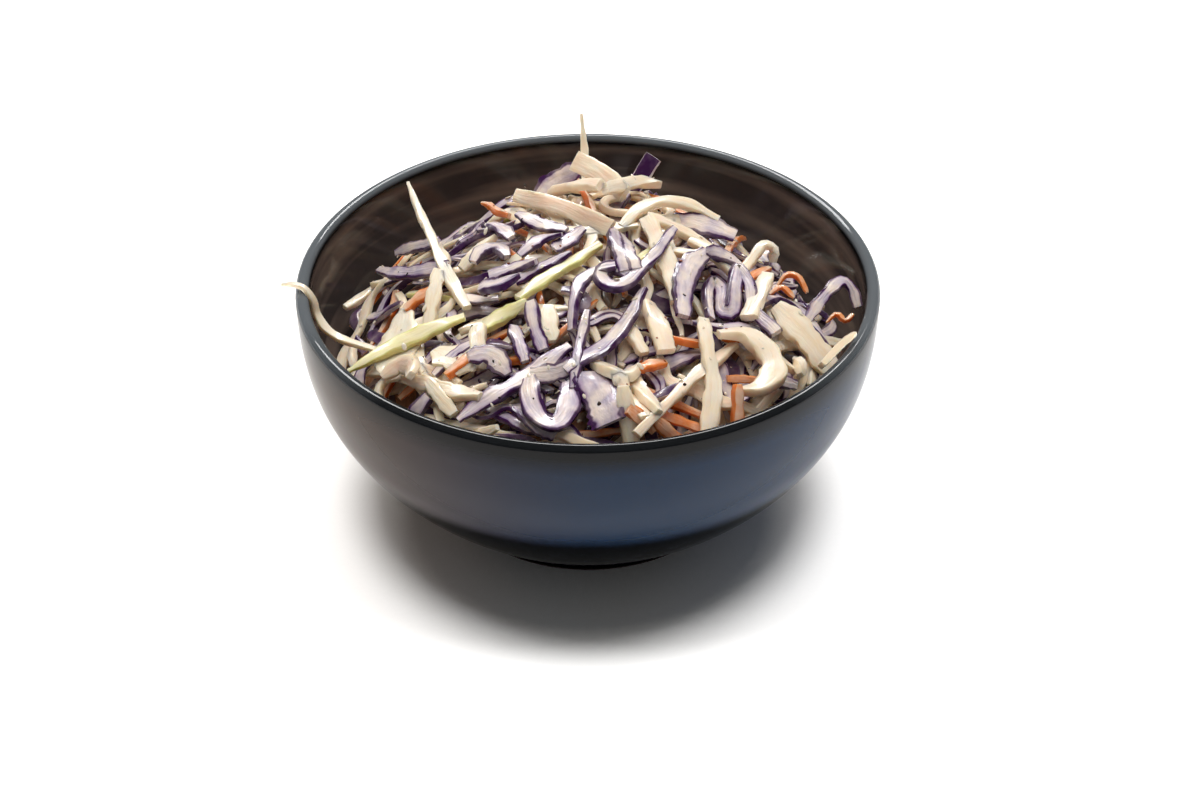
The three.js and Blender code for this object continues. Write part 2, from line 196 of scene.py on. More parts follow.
profile = bowl_profile()
bowl_points = np.dstack([
    profile[:, :1] * circle(BOWL_SIDES)[:, 0],
    profile[:, :1] * circle(BOWL_SIDES)[:, 1],
    np.repeat(profile[:, 1:], BOWL_SIDES, 1),
]).reshape(-1, 3)
bowl_quads = tube_quads(len(profile), BOWL_SIDES)
lip_end = int(profile[:, 1].argmax()) + LIP_ROWS // 2  # the row where the lip's round ends inside
bowl_inside = np.repeat(np.arange(len(profile)) > lip_end, BOWL_SIDES)
print("bowl profile:", len(profile), "rows; its lip is widest at", profile[:, 0].max(), "mm from the axis")

# %% [markdown]
# ## Black glaze
# Gloss glaze is a thin layer of glass over dark clay: almost black, with a clear, slightly uneven
# reflection. The throwing rings under it bend reflections into long level streaks, so a very low bump
# repeats up the wall. Painted reflections colour it brown on the left and blue on the right, fading to
# near black round the back, and a blue-grey band on the lip's crest at the sides and the back. Inside it
# is browner, with lighter streaks that are painted reflections of the slaw. Painted shade makes it black
# low down, where it would mirror the shadow under the bowl, and on the lip and in a band just under it.
# The foot's standing ring is wiped clean before firing and shows dull brown clay. All of this is painted
# by height and by side, one layer over another, from the place on the bowl.

# %% Glaze material
RING_SPACING, RING_SWAY = 5.263, 71.43  # throwing rings: mm from one to the next, and over which they drift
GLAZE_IOR = 1.31  # under that of glass, because this glaze reflects less


def black_gloss_glaze():
    """Painted one over another: brown to blue by side as painted reflections, near black round the back where
    these fade, black low down and on the lip as painted shade, brown inside with streaks of painted
    reflection, a painted blue-grey reflection on the lip's crest, and bare clay. The rings are noise
    stretched round the axis. The gloss is low towards the foot and fades where the wall is seen edge-on."""
    material, add, place = new_material("stoneware_black_gloss_glaze")
    x, y, z = add("SeparateXYZ", {0: place}).outputs
    inside = add("Attribute", attribute_name="inside").outputs["Fac"]
    scale = every(RING_SWAY), every(RING_SWAY), every(RING_SPACING)
    rings = add("Mapping", {"Vector": place, "Scale": scale})
    ring_noise = add("TexNoise", {"Vector": rings, "Scale": 1.0, "Detail": 2.0})
    bump = add("Bump", {"Strength": 0.06, "Distance": 0.3 * MM, "Height": ring_noise})
    clay = add("MapRange", {"Value": z, 1: 0.4 * MM, 2: 0.7 * MM, 3: 1.0, 4: 0.0})
    # painted shade: black low down, where the wall would mirror the shadow under the bowl, with the gloss
    # lowered there too, and black on and just under the lip
    low = add("MapRange", {"Value": z, 1: 31.8 * MM, 2: 27.5 * MM})
    lip = add("MapRange", {"Value": z, 1: 54 * MM, 2: 59 * MM})
    painted_dark_ends = add("Math", {0: low, 1: lip}, operation="MAXIMUM")
    # painted reflections: brown on the left, blue on the right, fading to near black round the back
    painted_cool_side = add("MapRange", {"Value": x, 1: -60 * MM, 2: 10 * MM}, interpolation_type="SMOOTHSTEP")
    round_back = add("MapRange", {"Value": y, 1: -30 * MM, 2: 20 * MM, 4: 0.8})
    # painted reflection: a blue-grey band on the lip's crest, faint at the front
    not_in_front = add("MapRange", {"Value": y, 1: -52 * MM, 2: -20 * MM, 3: 0.06})
    painted_lip_reflection = add("MapRange", {"Value": z, 1: 60.6 * MM, 2: 61.4 * MM, 4: not_in_front})
    # inside: a browner glaze, with lighter streaks that are painted reflections of the slaw
    painted_streak = add("MapRange", {"Value": ring_noise, 1: 0.42, 2: 0.66})
    inner = add("Mix", {0: painted_streak, 6: linear("#433d3d"), 7: linear("#7a6d66")}, data_type="RGBA")
    colour = linear("#2f2117")  # brown, a painted warm reflection on the left side
    layers = [
        (painted_cool_side, linear("#10233a")),
        (round_back, linear("#0c1017")),
        (painted_dark_ends, linear("#040507")),
        (inside, inner),
        (painted_lip_reflection, linear("#62686e")),
        (clay, linear("#3a302a")),
    ]
    for share, paint in layers:
        colour = add("Mix", {0: share, 6: colour, 7: paint}, data_type="RGBA")
    rough = add("MapRange", {"Value": clay, 3: 0.06, 4: 0.8})
    facing = add("LayerWeight", {"Blend": 0.5}).outputs["Facing"]
    edge_on = add("MapRange", {"Value": facing, 1: 0.40, 2: 0.90, 3: 0.33, 4: 0.02})
    gloss = add("MapRange", {"Value": low, 3: edge_on, 4: 0.05})
    shader = add("BsdfPrincipled", {
        "Base Color": colour, "Roughness": rough, "IOR": GLAZE_IOR, "Specular IOR Level": gloss,
        "Normal": bump})
    add("OutputMaterial", {"Surface": shader})
    return material


bowl = make_piece("glazed_bowl", bowl_points, bowl_quads, black_gloss_glaze(), {"inside": bowl_inside})
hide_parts("bowl")
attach(bowl, "root")

# %% [markdown]
# ## The heap's form
# The slaw is piled a little behind the bowl's middle and falls faster at the back. The height formula is
# the CAD model's: from the peak down to the shore, where the slaw meets the wall, along the line through
# each point.

# %% Heap height
PEAK = np.array([3.0, 12.0])
PEAK_Z, SHORE_RADIUS, SHORE_Z, SHORE_TILT, HEAP_POWER = 77.0, 65.0, 47.0, 8.5, 1.5
CREST_X, CREST_Y, CREST_BEND, BACK_FALL = -4.0, 26.0, 0.009, 0.32
BED_DEPTH = 9.5  # the dressed bed lies this far under the heap's surface
SHORE_DROP, SHORE_POWER = 5.0, 8  # and this much more at the wall, by a power of the radius
LUMP_HEIGHT = 0.6  # of the waves that make the bed uneven
BED_HOLLOW, TOP_HOLLOW = 4.5, 14.0  # how much lower the bed and the shreds are in a hollow
HOLLOWS = [(-61, -2, 11), (-60, -18, 8), (60, 14, 10), (30, -20, 6)]  # where the heap is open, and radius


def heap_height(x, y):
    """Shore height plus the rise to the peak times 1 minus (distance from the peak / reach) to a power.
    Behind the crest, a parabola in plan, it falls faster by a share of the distance behind it."""
    dx, dy = x - PEAK[0], y - PEAK[1]
    away = np.hypot(dx, dy) + 1e-6
    along = (PEAK[0] * dx + PEAK[1] * dy) / away
    reach = -along + np.sqrt(along ** 2 + SHORE_RADIUS ** 2 - PEAK @ PEAK)
    shore = SHORE_Z - SHORE_TILT * dy / away
    behind = np.maximum(0, y - CREST_Y + CREST_BEND * (x - CREST_X) ** 2)
    return shore + (PEAK_Z - shore) * (1 - np.minimum(away / reach, 1) ** HEAP_POWER) - BACK_FALL * behind


def hollow(x, y):
    """1 in the middle of each hollow, falling as exp(-(distance / radius) squared)."""
    return sum(np.exp(-((x - px) ** 2 + (y - py) ** 2) / radius ** 2) for px, py, radius in HOLLOWS)


def bed_height(x, y):
    """The heap lowered by the bed's depth, more near the wall and in hollows, with waves some mm across."""
    waves = np.sin(x / 3.3 + 1) * np.cos(y / 3.7) + np.sin((x + y) / 5.7) + 0.6 * np.sin(x / 1.9 - y / 2.3)
    near_wall = (np.hypot(x, y) / SHORE_RADIUS) ** SHORE_POWER
    lowered = BED_DEPTH + SHORE_DROP * near_wall + BED_HOLLOW * hollow(x, y)
    return heap_height(x, y) - lowered + LUMP_HEIGHT * waves


print("heap and bed at the peak, in mm:", heap_height(*PEAK).round(1), bed_height(*PEAK).round(1))

# %% [markdown]
# ## Shred paths
# A shred is cut from a curved leaf, so in plan it bends and curls. A path is made from its curvature: the
# heading is the running sum of the curvature, and the place is the running sum of the heading. Shreds that
# stand out are given a few places instead, and a smooth curve runs through them.

# %% Paths
STEP = 1.0  # distance between rings along a shred
FINE = 24  # points of a curve from one place given by hand to the next


def curled_path(length, heading, bend, curl, wavelength, phase):
    """Plan path centred on its middle. Its direction at a distance s along it is heading plus bend times
    (s / length - 0.5) plus curl times the sine of (a turn times s / wavelength, plus phase)."""
    s = np.arange(0, length + STEP, STEP)
    facing = heading + bend * (s / length - 0.5) + curl * np.sin(TURN * s / wavelength + phase)
    path = np.cumsum(np.c_[np.cos(facing), np.sin(facing)] * STEP, axis=0)
    return path - path[len(path) // 2]


def path_through(places):
    """Catmull-Rom curve through given points of two or three axes, spaced evenly along its length."""
    p = np.asarray(places, float)
    p = np.vstack([2 * p[0] - p[1], p, 2 * p[-1] - p[-2]])
    t = np.linspace(0, 1, FINE, endpoint=False)[:, None]
    a, b, c, d = (p[i:len(p) - 3 + i][:, None, :] for i in range(4))
    square, cube = 2 * a - 5 * b + 4 * c - d, 3 * b - a - 3 * c + d
    fine = 0.5 * (2 * b + (c - a) * t + square * t ** 2 + cube * t ** 3)
    fine = np.vstack([fine.reshape(-1, p.shape[1]), p[-2]])
    run = np.r_[0, np.cumsum(np.linalg.norm(np.diff(fine, axis=0), axis=1))]
    s = np.linspace(0, run[-1], max(5, round(run[-1] / STEP) + 1))
    return np.stack([np.interp(s, run, axis) for axis in fine.T], -1)


print("rings of a path through three places:", len(path_through([(0, 0), (15, 4), (30, 0)])))

# %% [markdown]
# ## Laying the shreds
# Real shreds fall on one another, bridge the gaps and droop. A rigid body simulation of hundreds of bending
# strips would be slow and never settle the same way twice. Instead a height map of the heap is kept: each
# shred rests on the map, is stiff enough to bridge hollows, and then raises the map where it lies.

# %% Height map
CELL, MAP_HALF, WALL_SAMPLES = 0.5, 76.0, 200
MAP_WALL_GAP = 0.8  # the map's wall stands this far inside the real one
LIP_MARGIN, ABOVE_LIP = 0.5, 0.3  # and its lip is this much wider and higher than the real one
TOP_CEILING = 1.8  # a shred sinks into what stands this far over the heap's surface

axis_places = np.arange(-MAP_HALF, MAP_HALF + CELL, CELL)
map_x, map_y = np.meshgrid(axis_places, axis_places, indexing="ij")
map_radius = np.hypot(map_x, map_y)
wall_z = np.linspace(FLOOR_Z, RIM_Z, WALL_SAMPLES)
wall_surface = np.interp(map_radius + MAP_WALL_GAP, inner_radius(wall_z), wall_z)
ground = np.maximum(bed_height(map_x, map_y), wall_surface)
ground[map_radius > BOWL_RADIUS] = SHORE_Z
over_lip = (map_radius > BOWL_RADIUS - WALL - LIP_MARGIN) & (map_radius < BOWL_RADIUS + LIP_MARGIN)
ground[over_lip] = BOWL_HEIGHT + ABOVE_LIP
heap_top = np.maximum(ground, heap_height(map_x, map_y))
print("height map:", ground.shape, "cells, from", ground.min().round(1), "to", ground.max().round(1), "mm")


def cell_of(v):
    """Index of the map cell at a place in mm."""
    return np.clip(np.rint((v + MAP_HALF) / CELL).astype(int), 0, len(axis_places) - 1)

# %% [markdown]
# ## Stiffness
# A strip of cabbage bends a little under its own weight, but it doesn't follow every dip: it touches the
# high points and hangs between them. A parabola is the shape of such a bend, and its radius stands for
# stiffness, large for carrot and small for red cabbage. A strip also rolls to lie flat on the slope across
# it.

# %% Draping
PRESS = 0.3  # a shred sinks this far into what it lies on
SETTLE = 60  # passes that fill the dips between the points it touches
MOST_ROLL = 1.0  # radians
FEELERS = np.linspace(-0.42, 0.42, 5)  # where across its width a shred feels the ground
STAMP = np.linspace(-0.5, 0.5, 9)  # where across its width it raises the map


def rest(heights, s, stiffness, ends):
    """Heights of a stiff strip over the ground's heights along it. A parabola of the strip's radius hangs
    from every ground point and the highest counts, so it arcs over bumps; the ground's mean slope is left out
    of this. Dips are then filled to the same radius. A free end is a straight line from its own height that
    just touches the strip."""
    trend = np.polyval(np.polyfit(s, heights, 1), s)
    z = ((heights - trend)[None, :] - (s[:, None] - s[None, :]) ** 2 / (2 * stiffness)).max(1) + trend
    sag = STEP ** 2 / (2 * stiffness)
    for _ in range(SETTLE):
        z[1:-1] = np.maximum(z[1:-1], (z[:-2] + z[2:]) / 2 - sag)
    for end in ends:
        if end and end > z[-1]:
            slope = (end - z[:-1]) / (s[-1] - s[:-1])
            touch = int(slope.argmin())
            z[touch:] = end - slope[touch] * (s[-1] - s[touch:])
        z = z[::-1]
    return z


def to_the_left(path):
    """Unit vectors in plan, to the left of a path's heading."""
    ahead = np.gradient(path, axis=0)
    ahead /= np.linalg.norm(ahead, axis=1)[:, None] + 1e-9
    return np.c_[-ahead[:, 1], ahead[:, 0]]


def lay(path, width, depth, stiffness, lean, ends, limit):
    """Rests a shred on the map: its roll follows the ground's slope across it, as a straight line fitted
    along it, plus a lean. The map is then raised to the shred's top. Returns its centre line and roll."""
    side = to_the_left(path)
    across = FEELERS * width.max()
    under = path[:, None, :] + across[None, :, None] * side[:, None, :]
    felt = np.minimum(ground, limit)
    heights = felt[cell_of(under[..., 0]), cell_of(under[..., 1])]
    s = np.arange(len(path)) * STEP
    slope = (heights * across).sum(1) / (across ** 2).sum()
    roll = np.clip(np.polyval(np.polyfit(s, np.arctan(slope), 1), s) + lean, -MOST_ROLL, MOST_ROLL)
    tilt = np.tan(roll)
    half = depth / 2 / np.cos(roll)
    z = rest((heights - across * tilt[:, None]).max(1) + half - PRESS, s, stiffness, ends[::-1])
    spots = path[:, None, :] + (STAMP[None, :] * width[:, None])[..., None] * side[:, None, :]
    tops = z[:, None] + STAMP[None, :] * width[:, None] * tilt[:, None] + half[:, None]
    for share in (0, 0.5):
        between = spots[:-1] * (1 - share) + spots[1:] * share
        np.maximum.at(ground, (cell_of(between[..., 0]), cell_of(between[..., 1])), tops[:-1])
    return np.c_[path, z], roll


flat = rest(np.array([0.0, 0, 0, 3, 0, 0, 0]), np.arange(7.0), 20, (None, None))
print("a stiff strip over one bump of 3 mm:", flat.round(1))

# %% [markdown]
# ## Shape of one shred
# A slicer leaves a ribbon whose section is a rectangle with soft corners: as wide as the leaf is thick, and
# as deep as the blade's setting. The section is carried along the path and gets thinner towards the ends.
# Each point remembers where it is across, along and up the shred, so that the material can colour skin and
# cut face.

# %% Sweep
CORNER = 0.34  # share of each half side that a soft corner takes
UNEVEN = 0.0075 * np.array([1, 2, 3, 3, 2, 1])  # shares of noise, over a few rings, that swell the outline
corner = np.array([(1, 1 - CORNER), (1 - 0.3 * CORNER, 1 - 0.3 * CORNER), (1 - CORNER, 1)])
right_top, left_top = corner, corner[::-1] * (-1, 1)
section = np.vstack([right_top, left_top, -right_top, -left_top])
SECTION = len(section)
section_x, section_y = section.T
print("points round a shred's section:", SECTION)


def sweep(centre, roll, width, depth):
    """Rings of a rounded rectangle round the centre line, turned by roll and made uneven by noise that is
    smoothed along the shred; quads close both ends."""
    ahead = np.gradient(centre, axis=0)
    ahead /= np.linalg.norm(ahead, axis=1)[:, None] + 1e-9
    side = np.c_[-ahead[:, 1], ahead[:, 0], np.zeros(len(ahead))]
    side /= np.linalg.norm(side, axis=1)[:, None] + 1e-9
    up = np.cross(ahead, side)
    s = np.cos(roll)[:, None] * side + np.sin(roll)[:, None] * up
    u = np.cos(roll)[:, None] * up - np.sin(roll)[:, None] * side
    uneven = rng.normal(size=(len(centre) + len(UNEVEN), SECTION))
    uneven = 1 + sum(share * uneven[k:k + len(centre)] for k, share in enumerate(UNEVEN))
    rings = (centre[:, None, :]
             + (uneven * width[:, None] / 2 * section_x)[..., None] * s[:, None, :]
             + (uneven * depth[:, None] / 2 * section_y)[..., None] * u[:, None, :])
    return rings.reshape(-1, 3), tube_quads(len(centre), SECTION)

# %% [markdown]
# ## Kinds of shred
# Four vegetables are mixed: red cabbage curls most, white cabbage is longer and straighter, carrot is thin
# and nearly straight, and a few strips come from the green outer leaves. The sizes are those of a kitchen
# slicer.

# %% Kinds and cuts
RED, WHITE, CARROT, GREEN = "red_cabbage", "white_cabbage", "carrot", "green_cabbage"
KINDS = {
    # kind: share, length, width, depth, bend, curl, stiffness
    RED: (0.50, (18, 42), (1.9, 4.0), (0.9, 1.5), 1.6, 0.75, 22),
    WHITE: (0.39, (22, 52), (1.6, 3.5), (1.2, 2.0), 0.9, 0.26, 38),
    CARROT: (0.085, (14, 32), (1.4, 2.4), (1.3, 1.9), 0.4, 0.10, 60),
    GREEN: (0.008, (14, 30), (1.8, 3.0), (1.3, 1.8), 0.7, 0.20, 40),
}
STIFFNESS = {kind: row[-1] for kind, row in KINDS.items()}
laid = {kind: [] for kind in KINDS}
SLOW_EDGE, SLOW_WAVES = 0.13, (0.8, 2.6)  # how uneven a cut's width is in slow waves, and how many there are
FAST_EDGE, FAST_WAVES = 0.08, (4, 7)
STRAIGHT_CUT = 0.1  # a shred with blunter ends than this has straighter edges too
END_DEPTH, END_STOP = 0.35, 0.03  # share of the depth left at a pointed end; narrowing stops this far from it
TWIST, TWIST_RATE = 0.15, (0.15, 0.4)  # how far a shred rolls to and fro along it, and how fast
WAVELENGTH, CURL_SHARE, PHASE = (9, 20), (0.3, 1), (0, 6.3)  # of a chance shred's curls
SHRED_REACH = 62.0  # chance shreds stay this near the axis
print("stiffness of each kind:", STIFFNESS)


def cut_sizes(count, width, depth, point):
    """Width and depth along a shred from its widths at both ends: edges with a slow unevenness, and ends that
    narrow by a low power of a sine, from blunt and cut straight at 0.02 to pointed at 0.5."""
    t = np.linspace(0, 1, count)
    ends = np.sin(math.pi * np.clip(t, END_STOP, 1 - END_STOP)) ** point
    wobble = SLOW_EDGE * np.sin(TURN * (rng.uniform(*SLOW_WAVES) * t + rng.random()))
    wobble += FAST_EDGE * np.sin(TURN * (rng.uniform(*FAST_WAVES) * t + rng.random()))
    wobble = 1 + wobble * min(1, point / STRAIGHT_CUT)
    widths = (width[0] + (width[1] - width[0]) * t) * ends * wobble
    return widths, depth * (END_DEPTH + (1 - END_DEPTH) * ends)


def place_shred(kind, path, width, depth, lean, limit, ends=(None, None), point=0.1, layers=1, skin_up=False):
    """Cuts, lays and remembers one shred with a number of leaf layers across it, or with its skin side up.
    The lean is a roll at each end. A path with heights of its own isn't laid."""
    tone = rng.random()
    widths, depths = cut_sizes(len(path), width, depth, point)
    depths = np.minimum(depths, widths)
    twist = TWIST * np.sin(np.arange(len(path)) * rng.uniform(*TWIST_RATE) + tone * 6)
    lean = np.linspace(*lean, len(path)) + twist
    if path.shape[1] == 3:
        centre, roll = path, lean
    else:
        centre, roll = lay(path, widths, depths, STIFFNESS[kind], lean, ends, limit)
    laid[kind].append((centre, roll, widths, depths, tone, layers, skin_up))


def chance_path(kind):
    """A chance path of a kind, placed anywhere on the heap where it stays inside the wall."""
    _, length, _, _, bend, curl, _ = KINDS[kind]
    while True:
        path = curled_path(rng.uniform(*length), rng.uniform(0, TURN), rng.normal(0, bend),
                           rng.uniform(*CURL_SHARE) * curl, rng.uniform(*WAVELENGTH), rng.uniform(*PHASE))
        radius, angle = SHRED_REACH * math.sqrt(rng.random()), rng.uniform(0, TURN)
        path = path + [radius * math.cos(angle), radius * math.sin(angle)]
        if np.hypot(*path.T).max() < SHRED_REACH:
            return path

# %% [markdown]
# ## Shreds that stand out
# The eye remembers a heap by the few pieces on top: long reeds, a folded purple leaf, a broad pale wedge.
# Each of these is placed one by one, in millimetres. Most have places in plan only and are laid last, so that
# they rest on all the others. Those that stand free, or hang over the lip, have heights too.

